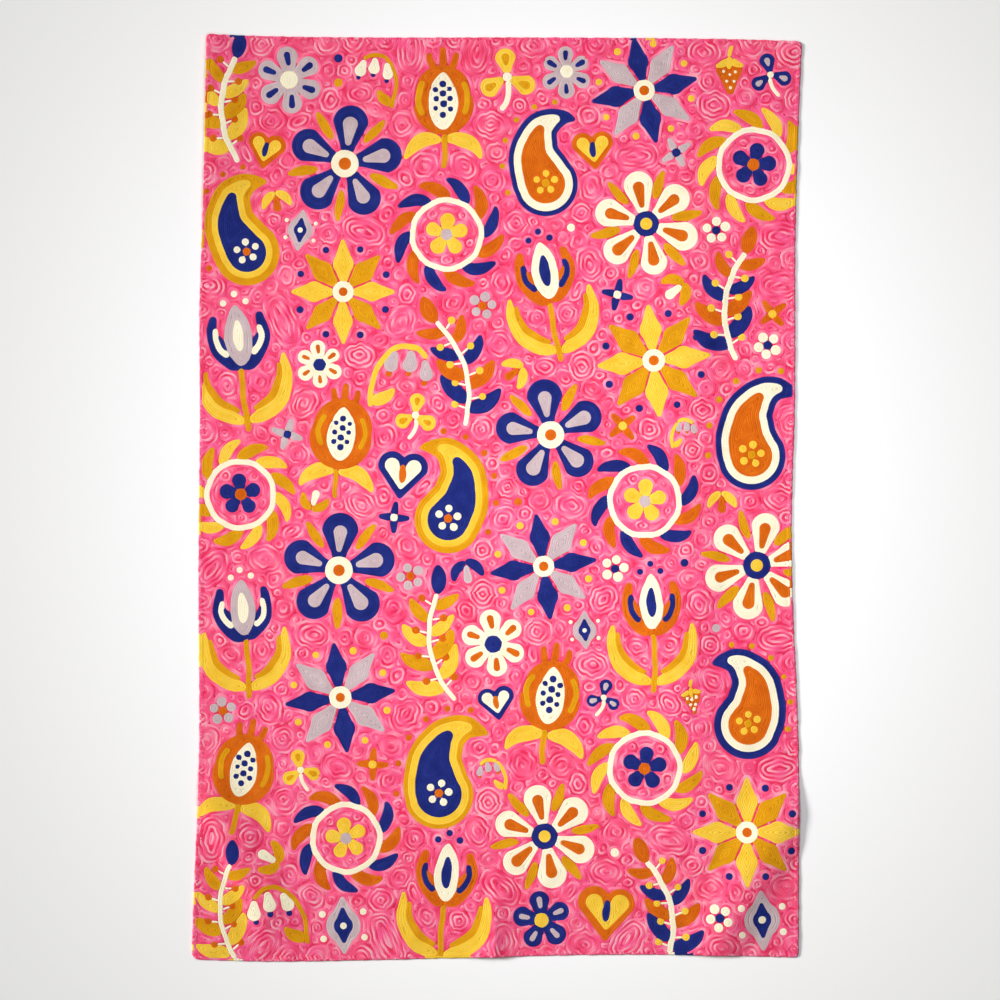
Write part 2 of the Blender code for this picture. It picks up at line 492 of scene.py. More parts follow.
@dataclass(frozen=True)
class Paisley(Motif):
    """A drop with a hooked tip, filled band inside band, with a small flower in it."""

    curve: Table = ((0.0, -0.042), (-0.042, 0.020), (-0.004, 0.086), (0.050, 0.066))  # from bulb to tip
    eye: Place = (0.0, -0.040)
    bulb_radius: float = 0.051
    tip_radius: float = 0.0042
    narrowing: float = 0.85  # below 1 the drop stays wide for longer
    back_dots: int = 12  # every second one is made

    def radius(self, share: Array | float) -> Array | float:
        """How wide the drop is to each side of its middle, at this share of the way to the tip."""
        return self.bulb_radius * (1 - share) ** self.narrowing + self.tip_radius

    def spine(self, upto: float, count: int) -> Array:
        """Follows the middle of the drop from its bulb towards its tip.

        Args:
            upto: The share of the way to the tip.
            count: How many points.

        Returns:
            The points.
        """
        t = np.linspace(0.0, upto, count)[:, None]
        bulb, low, high, tip = (np.array(place) for place in self.curve)
        return bulb * (1 - t) ** 3 + 3 * low * t * (1 - t) ** 2 + 3 * high * t * t * (1 - t) + tip * t**3

    def drop(self, yarn: Yarn, upto: float, inset: float) -> Stroke:
        """The drop's own shape, made smaller all round by an inset."""
        t = np.linspace(0.0, upto, 24)
        return Stroke(yarn, [(self.spine(upto, len(t)), np.maximum(self.radius(t) - inset, LEAST_RADIUS))])

    def strokes(self) -> list[Stroke]:
        """The bands of the drop, the flower in its bulb, and a row of dots along its back.

        Returns:
            Its strokes.
        """
        outer, band, core, flower, back = self.yarns
        result = [self.drop(outer, 1.0, 0.0), self.drop(band, 0.80, 0.0105), self.drop(core, 0.56, 0.0215)]
        petals = [np.add(self.eye, polar(angle, 0.0155)) for angle in range(18, 378, 72)]
        result += dots(flower, petals, 0.0060)
        result.append(dot(back, self.eye, 0.0065))
        points = self.spine(0.9, self.back_dots + 1)
        for index in range(1, self.back_dots, 2):
            run = points[index + 1] - points[index - 1]
            side = np.array([-run[1], run[0]]) / np.linalg.norm(run)
            away = self.radius(0.9 * index / self.back_dots) + 0.0115
            result.append(dot(back, points[index] + side * away, 0.0050))
        return result


class Tulip(Motif):
    """A tulip on its stem, between two long leaves."""

    def strokes(self) -> list[Stroke]:
        """Leaves, stem, the three petals, and three dots above them.

        Returns:
            Its strokes.
        """
        outer, middle, accent, green, dark = self.yarns
        leaves = both_sides([
            leaf(green, (-0.002, -0.092), (-0.066, 0.004), 0.0145, 0.20),
            leaf(dark, (-0.014, -0.073), (-0.057, -0.010), 0.0055, 0.17),
        ])
        petals = both_sides([
            petal(outer, (-0.010, 0.006), (-0.036, 0.070), 0.0190, 0.0060, 0.20),
            petal(accent, (-0.022, 0.014), (-0.034, 0.052), 0.0045, 0.0040, 0.16),
        ])
        return (
            leaves
            + [stem(dark, bowed((0, -0.104), (0, 0.000), 0.03), 0.0042)]
            + petals
            + [leaf(middle, (0, 0.000), (0, 0.086), 0.0205), leaf(accent, (0, 0.020), (0, 0.064), 0.0085)]
            + dots(accent, ((-0.017, 0.094), (0.0, 0.106), (0.017, 0.094)), 0.0052)
        )


class EightPointStar(Motif):
    """A star of eight lozenges round an eye, with a dot between each pair of tips."""

    def strokes(self) -> list[Stroke]:
        """Lozenges in two yarns by turns, dots and the eye.

        Returns:
            Its strokes.
        """
        first, second, eye, pupil, between = self.yarns
        result = []
        for index in range(8):
            yarn = second if index % 2 else first
            result.append(diamond(yarn, polar(45 * index, 0.012), polar(45 * index, 0.086), 0.0170))
        result += dots(between, [polar(45 * index + 22.5, 0.078) for index in range(8)], 0.0058)
        return result + [dot(eye, (0, 0), 0.0175), dot(pupil, (0, 0), 0.0080)]


class Pomegranate(Motif):
    """A split fruit with its seeds, a crown on top and two leaves under it."""

    def strokes(self) -> list[Stroke]:
        """Leaves, crown, stem, body, split and seeds.

        Returns:
            Its strokes.
        """
        body, split, seeds, green, dark = self.yarns
        lower = both_sides([
            leaf(green, (-0.004, -0.066), (-0.060, -0.094), 0.0125, -0.20),
            petal(body, (-0.005, 0.040), (-0.021, 0.070), 0.0070, 0.0045, 0.12),
        ])
        flanks = both_sides([petal(dark, (-0.034, -0.022), (-0.033, 0.024), 0.0042, 0.0042, 0.13)])
        return (
            lower
            + [stem(dark, bowed((0, -0.108), (0, -0.040), -0.04))]
            + [petal(body, (0, 0.040), (0, 0.078), 0.0075, 0.0045)]
            + [Stroke(body, [(np.array([[0, -0.010], [0, 0.008]]), np.array([0.050, 0.047]))])]
            + flanks
            + [leaf(split, (0, -0.044), (0, 0.040), 0.0235)]
            + dots(seeds, [(0, y) for y in (-0.026, -0.009, 0.008, 0.024)], 0.0056)
            + dots(seeds, [(x, y) for x in (-0.0115, 0.0115) for y in (-0.016, 0.000, 0.015)], 0.0044)
        )


@dataclass(frozen=True)
class LeafWreath(Motif):
    """A round wreath of leaves, with a small flower in the middle."""

    leaves: int = 12

    def strokes(self) -> list[Stroke]:
        """Leaves in two yarns by turns, the ring they grow on, and the flower.

        Returns:
            Its strokes.
        """
        first, second, hoop, flower, eye = self.yarns
        step = 360 / self.leaves
        result = []
        for index in range(self.leaves):
            base, tip = polar(step * index, 0.058), polar(step * index + 31, 0.088)
            result.append(leaf(second if index % 2 else first, base, tip, 0.0098, -0.12))
        result.append(ring(hoop, 0.055, 0.0040))
        result += fan(flower, range(90, 450, 72), 0.010, 0.023, 0.007, 0.0118)
        return result + [dot(eye, (0, 0), 0.0095)]


@dataclass(frozen=True)
class Sprig(Motif):
    """A curved twig with leaves by turns on its two sides, berries between them and a bud at its tip."""

    pairs: int = 4

    def strokes(self) -> list[Stroke]:
        """Leaves and berries, the twig over them, and the bud.

        Returns:
            Its strokes.
        """
        green, dark, twig, berry, bud = self.yarns
        line = bowed((0.016, -0.104), (0.004, 0.066), -0.15, 25)
        result = []
        for index in range(2 * self.pairs):
            at = 3 + int(18 * index / (2 * self.pairs - 1))
            run = line[at + 1] - line[at - 1]
            heading = math.degrees(math.atan2(run[1], run[0]))
            side = 1 if index % 2 else -1
            length = 0.058 - 0.0025 * index
            tip = tuple(line[at] + polar(heading + side * 52, length))
            yarn = dark if index % 4 > 1 else green
            result.append(leaf(yarn, tuple(line[at]), tip, 0.0125 - 0.0005 * index, side * 0.10))
            spot = line[at] + polar(heading - side * 75, 0.0215)
            result.append(thread(twig, np.array([line[at], spot])))
            result.append(dot(berry, tuple(spot), 0.0058))
        result.append(stem(twig, line, 0.0038))
        tip = tuple(line[-1])
        return result + [leaf(bud, tip, (tip[0] - 0.008, tip[1] + 0.036), 0.0120)]


@dataclass(frozen=True)
class SmallFlower(Motif):
    """A little flower of round petals."""

    petals: int = 6

    def strokes(self) -> list[Stroke]:
        """Petals with a mark on each, and the eye.

        Returns:
            Its strokes.
        """
        outer, mark, eye = self.yarns
        angles = [90 + 360 * index / self.petals for index in range(self.petals)]
        wide = 0.088 / self.petals
        return (
            fan(outer, angles, 0.016, 0.033, wide * 0.6, wide)
            + fan(mark, angles, 0.024, 0.036, 0.0034, 0.0048)
            + [dot(eye, (0, 0), 0.0125)]
        )


class Heart(Motif):
    """A heart inside a heart."""

    def lobes(self, yarn: Yarn, inset: float) -> Stroke:
        """One heart, made smaller all round by an inset."""
        tip, radii = (0.0, -0.037 + 1.6 * inset), np.array([0.0040, 0.0225 - inset])
        return Stroke(yarn, [(np.array([tip, (side * 0.0185, 0.013)]), radii) for side in (-1, 1)])

    def strokes(self) -> list[Stroke]:
        """The outer heart, the inner one and its core.

        Returns:
            Its strokes.
        """
        outer, inner, core = self.yarns
        middle = leaf(core, (0, -0.012), (0, 0.014), 0.0060)
        return [self.lobes(outer, 0.0), self.lobes(inner, 0.0095), middle]


class Trefoil(Motif):
    """Three round leaves on a curved stalk."""

    def strokes(self) -> list[Stroke]:
        """Stalk, leaves and the mark on each.

        Returns:
            Its strokes.
        """
        outer, mark, stalk = self.yarns
        angles = (90, 206, -26)
        return (
            [stem(stalk, bowed((0.010, -0.048), (0, 0.002), 0.12))]
            + fan(outer, angles, 0.013, 0.030, 0.0075, 0.0165)
            + fan(mark, angles, 0.0225, 0.032, 0.0036, 0.0068)
            + [dot(stalk, (0, 0), 0.0075)]
        )


@dataclass(frozen=True)
class Strawberry(Motif):
    """A seeded berry under its cap of leaves."""

    seeds: Table = (
        (-0.013, 0.006), (0.013, 0.006), (0.0, 0.000), (-0.008, -0.014), (0.008, -0.014), (0.0, -0.027),
    )

    def strokes(self) -> list[Stroke]:
        """Berry, seeds, stalk and cap.

        Returns:
            Its strokes.
        """
        berry, seed, cap = self.yarns
        return (
            [Stroke(berry, [(np.array([[0, 0.008], [0, -0.034]]), np.array([0.0270, 0.0075]))])]
            + dots(seed, self.seeds, 0.0036)
            + [stem(cap, bowed((0.006, 0.058), (0, 0.030), -0.12))]
            + both_sides([leaf(cap, (-0.001, 0.031), (-0.026, 0.020), 0.0070, 0.1)])
            + [leaf(cap, (0, 0.034), (0, 0.014), 0.0062)]
        )


@dataclass(frozen=True)
class BellSpray(Motif):
    """An arching stalk with three hanging bells and a leaf."""

    arch: Table = (
        (-0.030, -0.052), (-0.034, -0.020), (-0.026, 0.014), (-0.006, 0.038), (0.020, 0.042), (0.036, 0.030),
    )

    def strokes(self) -> list[Stroke]:
        """Leaf, stalk, and each bell with its clapper.

        Returns:
            Its strokes.
        """
        bell, clapper, stalk = self.yarns
        result = [
            leaf(stalk, (-0.030, -0.046), (-0.002, -0.026), 0.0095, -0.12),
            stem(stalk, rounded(np.array(self.arch)), 0.0036),
        ]
        for x, y, lean in ((-0.008, 0.032, -0.003), (0.016, 0.037, 0.000), (0.038, 0.028, 0.003)):
            result.append(dot(clapper, (x + lean, y - 0.036), 0.0045))
            result.append(petal(bell, (x, y - 0.008), (x + lean, y - 0.023), 0.0055, 0.0105))
        return result


class Lozenge(Motif):
    """Nested lozenges with four dots round them."""

    def strokes(self) -> list[Stroke]:
        """The two lozenges, the core and the dots.

        Returns:
            Its strokes.
        """
        outer, inner, core = self.yarns
        return [
            diamond(outer, (0, -0.042), (0, 0.042), 0.0260),
            diamond(inner, (0, -0.024), (0, 0.024), 0.0145),
            dot(core, (0, 0), 0.0058),
        ] + dots(core, [polar(angle, 0.037) for angle in (32, 148, 212, 328)], 0.0052)


class TinyFlower(Motif):
    """Five dots round a sixth."""

    def strokes(self) -> list[Stroke]:
        """The ring of dots and the one in the middle.

        Returns:
            Its strokes.
        """
        outer, eye = self.yarns
        around = [polar(angle, 0.0135) for angle in range(90, 450, 72)]
        return dots(outer, around, 0.0068) + [dot(eye, (0, 0), 0.0062)]


class TwinLeaves(Motif):
    """Two small leaves with a bud between them."""

    def strokes(self) -> list[Stroke]:
        """Leaves and bud.

        Returns:
            Its strokes.
        """
        green, bud = self.yarns
        leaves = both_sides([leaf(green, (-0.003, -0.013), (-0.021, 0.008), 0.0072, 0.12)])
        return leaves + [petal(bud, (0, -0.004), (0, 0.012), 0.0040, 0.0066)]


class SmallStar(Motif):
    """Four short points round a dot."""

    def strokes(self) -> list[Stroke]:
        """Points and dot."""
        point, eye = self.yarns
        return fan(point, range(45, 405, 90), 0.008, 0.020, 0.0058, 0.0036) + [dot(eye, (0, 0), 0.0060)]


@dataclass
class Design:
    """The rug's all-over design: large figures on a half-drop net, and in the gaps ever smaller ones."""

    # The large figures in the order in which they follow each other over the net
    large: tuple[Motif, ...] = (
        LayeredFlower((NAVY, LILAC, CREAM, RUST, OCHRE)),
        Tulip((RUST, CREAM, NAVY, CORN, OCHRE)),
        LeafWreath((CORN, OCHRE, CREAM, NAVY, RUST)),
        Paisley((NAVY, CREAM, RUST, CORN, OCHRE)),
        Sprig((CORN, OCHRE, CREAM, RUST, NAVY)),
        EightPointStar((NAVY, LILAC, CREAM, RUST, CORN)),
        Pomegranate((RUST, CREAM, NAVY, CORN, OCHRE)),
        LayeredFlower((CREAM, RUST, NAVY, CORN, OCHRE), petals=6),
        Paisley((OCHRE, CORN, NAVY, CREAM, RUST)),
        Tulip((NAVY, LILAC, CREAM, CORN, OCHRE)),
        EightPointStar((CORN, OCHRE, CREAM, RUST, NAVY)),
        Sprig((NAVY, RUST, CREAM, CORN, RUST)),
        LeafWreath((NAVY, RUST, CREAM, CORN, LILAC)),
    )
    # The figures that fill the gaps, in their order
    middling: tuple[Motif, ...] = (
        SmallFlower((CREAM, RUST, NAVY)),
        Heart((NAVY, CREAM, RUST)),
        Strawberry((RUST, CREAM, CORN)),
        Trefoil((CORN, OCHRE, CREAM)),
        SmallFlower((NAVY, LILAC, CORN), petals=5),
        BellSpray((CREAM, NAVY, OCHRE)),
        Lozenge((LILAC, NAVY, CREAM)),
        Heart((RUST, CORN, NAVY)),
        Trefoil((NAVY, LILAC, CREAM)),
        SmallFlower((LILAC, NAVY, CREAM)),
        BellSpray((LILAC, RUST, CORN)),
    )
    small: tuple[Motif, ...] = (
        TinyFlower((CREAM, NAVY)),
        TwinLeaves((CORN, RUST)),
        SmallStar((NAVY, CREAM)),
        TwinLeaves((OCHRE, CREAM)),
        TinyFlower((LILAC, RUST)),
        SmallStar((RUST, CORN)),
        SmallStar((LILAC, NAVY)),
        TwinLeaves((NAVY, LILAC)),
    )
    columns: int = 6
    rows: int = 7
    column_step: float = 0.205
    row_step: float = 0.270  # from one large figure to the next in its column
    large_scale: float = 1.24
    scale_jitter: float = 0.05  # how far a large figure's scale strays, as a share of it
    clearance: float = 0.0075  # the ground left round a figure that fills a gap
    middling_room: float = 0.046  # the least gap that takes a middling figure
    small_room: float = 0.0385  # the least that takes a small one
    dot_room: float = 0.037  # the least that takes a dot
    dot_radius: float = 0.0085
    dot_yarns: tuple[Yarn, ...] = (CREAM, OCHRE, NAVY, RUST, LILAC)
    most_fillers: int = 400
    largest_share: float = 1.40  # how far a figure is enlarged to fill its gap
    jitter: float = 0.011  # how far a large figure strays from its place in the net
    turn: float = 13.0  # the most that a figure is turned to either side, in degrees
    small_turn: float = 180.0
    kind_reach: float = 0.55  # beyond this, the distance to a motif of the same kind doesn't count
    colour_reach: float = 0.30  # the same for one of the same main colour
    colour_weight: float = 0.5
    use_weight: float = 0.05  # how much each earlier use of a motif counts against it
    luck: float = 0.02
    wobble: float = 0.0009  # how far a hand-drawn line strays
    widths: Place = (0.94, 1.06)  # the least and the most that a hand-drawn width is scaled by
    stray_across: tuple[Wave, ...] = ((1.0, 47, 111, 0), (0.25, 0, 311, 0))
    stray_along: tuple[Wave, ...] = ((1.0, 117, -61, 0), (0.25, 293, 0, 0))
    hand: np.random.Generator = field(default_factory=lambda: np.random.default_rng(SEED))
    placed: list[tuple[Motif, Place]] = field(default_factory=list)
    strokes: list[Stroke] = field(default_factory=list)

    def apart(self, spot: Place, alike: Callable[[Motif], bool]) -> float:
        """How far the nearest of the motifs that are alike lies from a spot, or 1 m if there is none."""
        return min((math.dist(spot, place) for other, place in self.placed if alike(other)), default=1.0)

    def merit(self, motif: Motif, spot: Place) -> float:
        """Judges how far from its likes, in kind and in colour, a motif would be at a spot.

        Args:
            motif: The motif.
            spot: Where it is to go.

        Returns:
            A measure that is higher the better the motif suits the spot.
        """
        kind = self.apart(spot, lambda other: type(other) is type(motif))
        colour = self.apart(spot, lambda other: other.yarns[0] is motif.yarns[0])
        uses = sum(other == motif for other, _place in self.placed)
        distance = min(kind, self.kind_reach) + self.colour_weight * min(colour, self.colour_reach)
        return distance - self.use_weight * uses + self.hand.uniform(0.0, self.luck)

    def choose(self, motifs: tuple[Motif, ...], spot: Place) -> Motif:
        """Chooses the motif that suits a spot best."""
        return max(motifs, key=lambda motif: self.merit(motif, spot))

    def put(self, motif: Motif, spot: Place, scale: float, turn: float) -> None:
        """Puts a motif down, mirrored or not.

        Args:
            motif: The motif.
            spot: Where its middle goes.
            scale: How much it is enlarged.
            turn: How far it is turned to the left, in degrees.
        """
        self.placed.append((motif, spot))
        mirrored = bool(self.hand.integers(2))
        for stroke in motif.placed(spot, turn, scale, mirrored):
            self.strokes.append(self.drawn(stroke))

    def drawn(self, stroke: Stroke) -> Stroke:
        """Draws a stroke as a hand would, with lines that stray and widths that vary.

        Args:
            stroke: The even stroke.

        Returns:
            The one drawn by hand.
        """
        fitted = stroke.fitted()
        bands = []
        for points, radii in fitted.bands:
            strays = [ripple(*points.T, *waves) for waves in (self.stray_across, self.stray_along)]
            strayed = points + self.wobble * np.column_stack(strays)
            bands.append((strayed, radii * self.hand.uniform(*self.widths)))
        return Stroke(fitted.yarn, bands, fitted.single).fitted()

    def lay_out(self) -> None:
        """Puts the large figures on their half-drop net, each a little off its place and a little turned."""
        for row in range(2 * self.rows - 1):
            for column in range(row % 2, self.columns, 2):
                x = (column - (self.columns - 1) / 2) * self.column_step
                y = (row / 2 - (self.rows - 1) / 2) * self.row_step
                spot = (x + self.stray(self.jitter), y + self.stray(self.jitter))
                scale = self.large_scale * (1 + self.stray(self.scale_jitter))
                self.put(self.choose(self.large, spot), spot, scale, self.stray(self.turn))

    def stray(self, most: float) -> float:
        """A little to one side or the other."""
        return float(self.hand.uniform(-most, most))

    def fill_gaps(self, stitch_map: "StitchMap") -> None:
        """Puts figures where the ground is widest, each as large as its gap, until no gap takes one.

        Args:
            stitch_map: The map with the large figures already in it.
        """
        counts = [0, 0, 0]
        for _ in range(self.most_fillers):
            spot, free = stitch_map.widest_gap()
            if free < self.dot_room:
                break
            start = len(self.strokes)
            if free < self.small_room:
                yarn = self.dot_yarns[counts[2] % len(self.dot_yarns)]
                self.strokes.append(self.drawn(dot(yarn, spot, self.dot_radius)))
                counts[2] += 1
            else:
                wide = free >= self.middling_room
                motif = self.choose(self.middling if wide else self.small, spot)
                scale = min(self.largest_share, (free - self.clearance) / motif.reach())
                self.put(motif, spot, scale, self.stray(self.turn if wide else self.small_turn))
                counts[0 if wide else 1] += 1
            for stroke in self.strokes[start:]:
                stitch_map.paint(stroke)
        log.info("middling figures: %d, small ones: %d, dots: %d", *counts)


@dataclass
class StitchMap:
    """A fine grid over the rug: the stroke at each cell, and how far the cell lies from its edge."""

    form: RugForm
    coarse: int = 4  # cells from one place that is looked at for a gap to the next
    strokes: list[Stroke | None] = field(default_factory=lambda: [None])

    def __post_init__(self) -> None:
        """Makes the bare ground of the rug."""
        points = self.form.outline()
        self.low = points.min(axis=0) - MAP_MARGIN
        high = points.max(axis=0) + MAP_MARGIN
        self.x = np.arange(self.low[0], high[0], CELL).astype(np.float32)
        self.y = np.arange(self.low[1], high[1], CELL).astype(np.float32)
        self.edge = self.inside_distance(points) - np.float32(HEM_ROW)
        self.depth = self.edge.copy()
        self.clear = np.full_like(self.edge, REACH)
        self.owner = np.zeros(self.edge.shape, dtype=np.int32)

    def inside_distance(self, points: Array) -> Array:
        """Measures how far each cell lies inside an outline.

        Args:
            points: The closed outline.

        Returns:
            The distances, below zero outside.
        """
        x, y = self.x[None, :], self.y[:, None]
        best = np.full((len(self.y), len(self.x)), np.inf, dtype=np.float32)
        inside = np.zeros(best.shape, dtype=bool)
        for start, end in zip(points, np.roll(points, -1, axis=0)):
            run = (end - start).astype(np.float32)
            share = np.clip(((x - start[0]) * run[0] + (y - start[1]) * run[1]) / float(run @ run), 0, 1)
            across, up = x - np.float32(start[0]), y - np.float32(start[1])
            away = (across - share * run[0]) ** 2 + (up - share * run[1]) ** 2
            np.minimum(best, away, out=best)
            crossed = (start[1] <= self.y) != (end[1] <= self.y)
            if crossed.any():
                level = start[0] + (self.y[crossed] - start[1]) / (end[1] - start[1]) * (end[0] - start[0])
                inside[crossed] ^= x < level[:, None]
        return np.where(inside, np.sqrt(best), -np.sqrt(best))

    def window(self, low: Array, high: Array, margin: float) -> tuple[slice, slice]:
        """Finds the cells round a box.

        Args:
            low: The box's lowest corner.
            high: Its highest corner.
            margin: How far outside the box to go.

        Returns:
            Their rows and columns.
        """
        start = np.floor((low - margin - self.low) / CELL).astype(int)
        stop = np.ceil((high + margin - self.low) / CELL).astype(int) + 1
        rows = slice(max(0, start[1]), max(0, min(len(self.y), stop[1])))
        columns = slice(max(0, start[0]), max(0, min(len(self.x), stop[0])))
        return rows, columns

    def paint(self, stroke: Stroke) -> None:
        """Adds a stroke over all that was painted before it.

        Args:
            stroke: The stroke.
        """
        self.strokes.append(stroke)
        window = self.window(*stroke.box(), REACH)
        if self.edge[window].size == 0:
            return
        away = stroke.distance(self.x[None, window[1]], self.y[window[0], None])
        covered = (away < 0) & (self.edge[window] > 0)
        depth = np.zeros_like(away) if stroke.single else np.minimum(-away, self.edge[window])
        self.depth[window] = np.where(covered, depth, np.minimum(self.depth[window], np.abs(away)))
        self.clear[window] = np.minimum(self.clear[window], np.maximum(away, 0))
        self.owner[window] = np.where(covered, len(self.strokes) - 1, self.owner[window])

    def widest_gap(self) -> tuple[Place, float]:
        """Finds the ground that is farthest from everything.

        Returns:
            Its place, and how far that is.
        """
        step = self.coarse
        ground = np.where(self.owner[::step, ::step] == 0, self.depth[::step, ::step], 0)
        row, column = np.unravel_index(int(ground.argmax()), ground.shape)
        return (float(self.x[column * step]), float(self.y[row * step])), float(ground[row, column])

    def read(self, values: Array, points: Array) -> Array:
        """Reads values between the cells.

        Args:
            values: The value of each cell.
            points: Where to read them.

        Returns:
            The value at each point.
        """
        place = (points - self.low) / CELL
        column = np.clip(np.floor(place[:, 0]).astype(int), 0, len(self.x) - 2)
        row = np.clip(np.floor(place[:, 1]).astype(int), 0, len(self.y) - 2)
        right, up = place[:, 0] - column, place[:, 1] - row
        lower = values[row, column] * (1 - right) + values[row, column + 1] * right
        upper = values[row + 1, column] * (1 - right) + values[row + 1, column + 1] * right
        return lower * (1 - up) + upper * up

    def strips(self, yarn: Yarn) -> Array:
        """The part of the rug under the rows of one yarn, cut into level strips.

        Args:
            yarn: The yarn. The deepest pink gets all of the ground, and the figures' borders against it.

        Returns:
            A row for each strip: its left, right, bottom and top.
        """
        mine = np.array([(stroke.yarn if stroke else Yarn.ROSE_DEEP) is yarn for stroke in self.strokes])
        by_ground = self.owner == 0
        for axis in (0, 1, 0, 1):
            by_ground |= np.roll(by_ground, 1, axis) | np.roll(by_ground, -1, axis)
        owner = np.where((self.depth > PADDING_INSET) | ~by_ground, self.owner, 0)[::PADDING_CELLS]
        covered = np.pad(mine[owner] & (self.edge[::PADDING_CELLS] > 0.0), ((0, 0), (1, 1)))
        change = np.diff(covered.astype(np.int8), axis=1)
        row, start = np.nonzero(change == 1)
        stop = np.nonzero(change == -1)[1] - 1
        parts = np.ceil((stop + 1 - start) / STRIP_CELLS).astype(int)
        which = np.repeat(np.arange(len(row)), parts)
        part = np.arange(len(which)) - np.repeat(np.cumsum(parts) - parts, parts)
        begin = start[which] + STRIP_CELLS * part
        left = self.low[0] + (begin - 0.5) * CELL
        right = self.low[0] + (np.minimum(begin + STRIP_CELLS, stop[which] + 1) - 0.5) * CELL
        bottom = self.low[1] + (row[which] - 0.5) * PADDING_CELLS * CELL
        return np.column_stack([left, right, bottom, bottom + PADDING_CELLS * CELL])

    def nearest(self, values: Array, points: Array) -> Array:
        """The values of the nearest cell to each point."""
        columns, rows = np.rint((points - self.low) / CELL).astype(int).T
        return values[np.clip(rows, 0, len(self.y) - 1), np.clip(columns, 0, len(self.x) - 1)]


@dataclass(frozen=True)
class Oval:
    """One oval of the ground: every place within its radius of a short line."""

    middle: Place
    radius: float
    half_line: float  # half the length of the line inside it
    heading: float  # of that line, in radians
    shift: Place = (0.0, 0.0)  # how far the inmost row lies off the middle, as a share of the radius
    taper: float = 0.18  # how much narrower it is at the ends of its line

    def outside(self, x: Array, y: Array) -> Array:
        """Measures how far places lie outside the oval.

        Args:
            x: Places across the rug.
            y: Places along it.

        Returns:
            Distances, below zero inside.
        """
        across, up = x - self.middle[0], y - self.middle[1]
        away = self.from_line(across, up)
        depth = np.clip(-away, 0, None)
        within = self.from_line(across - depth * self.shift[0], up - depth * self.shift[1])
        return np.where(depth > 0, within, away).astype(np.float32)

    def from_line(self, across: Array, up: Array) -> Array:
        """Measures how far places would lie outside the oval if its inmost row were in its middle.

        Args:
            across: Places across the rug, from the oval's middle.
            up: Places along it, from there.

        Returns:
            Distances, below zero inside.
        """
        cosine, sine = math.cos(self.heading), math.sin(self.heading)
        along = across * cosine + up * sine
        beside = up * cosine - across * sine
        share = np.clip(along / self.half_line, -1, 1)
        return np.hypot(along - share * self.half_line, beside) - self.radius * (1 - self.taper * share**2)


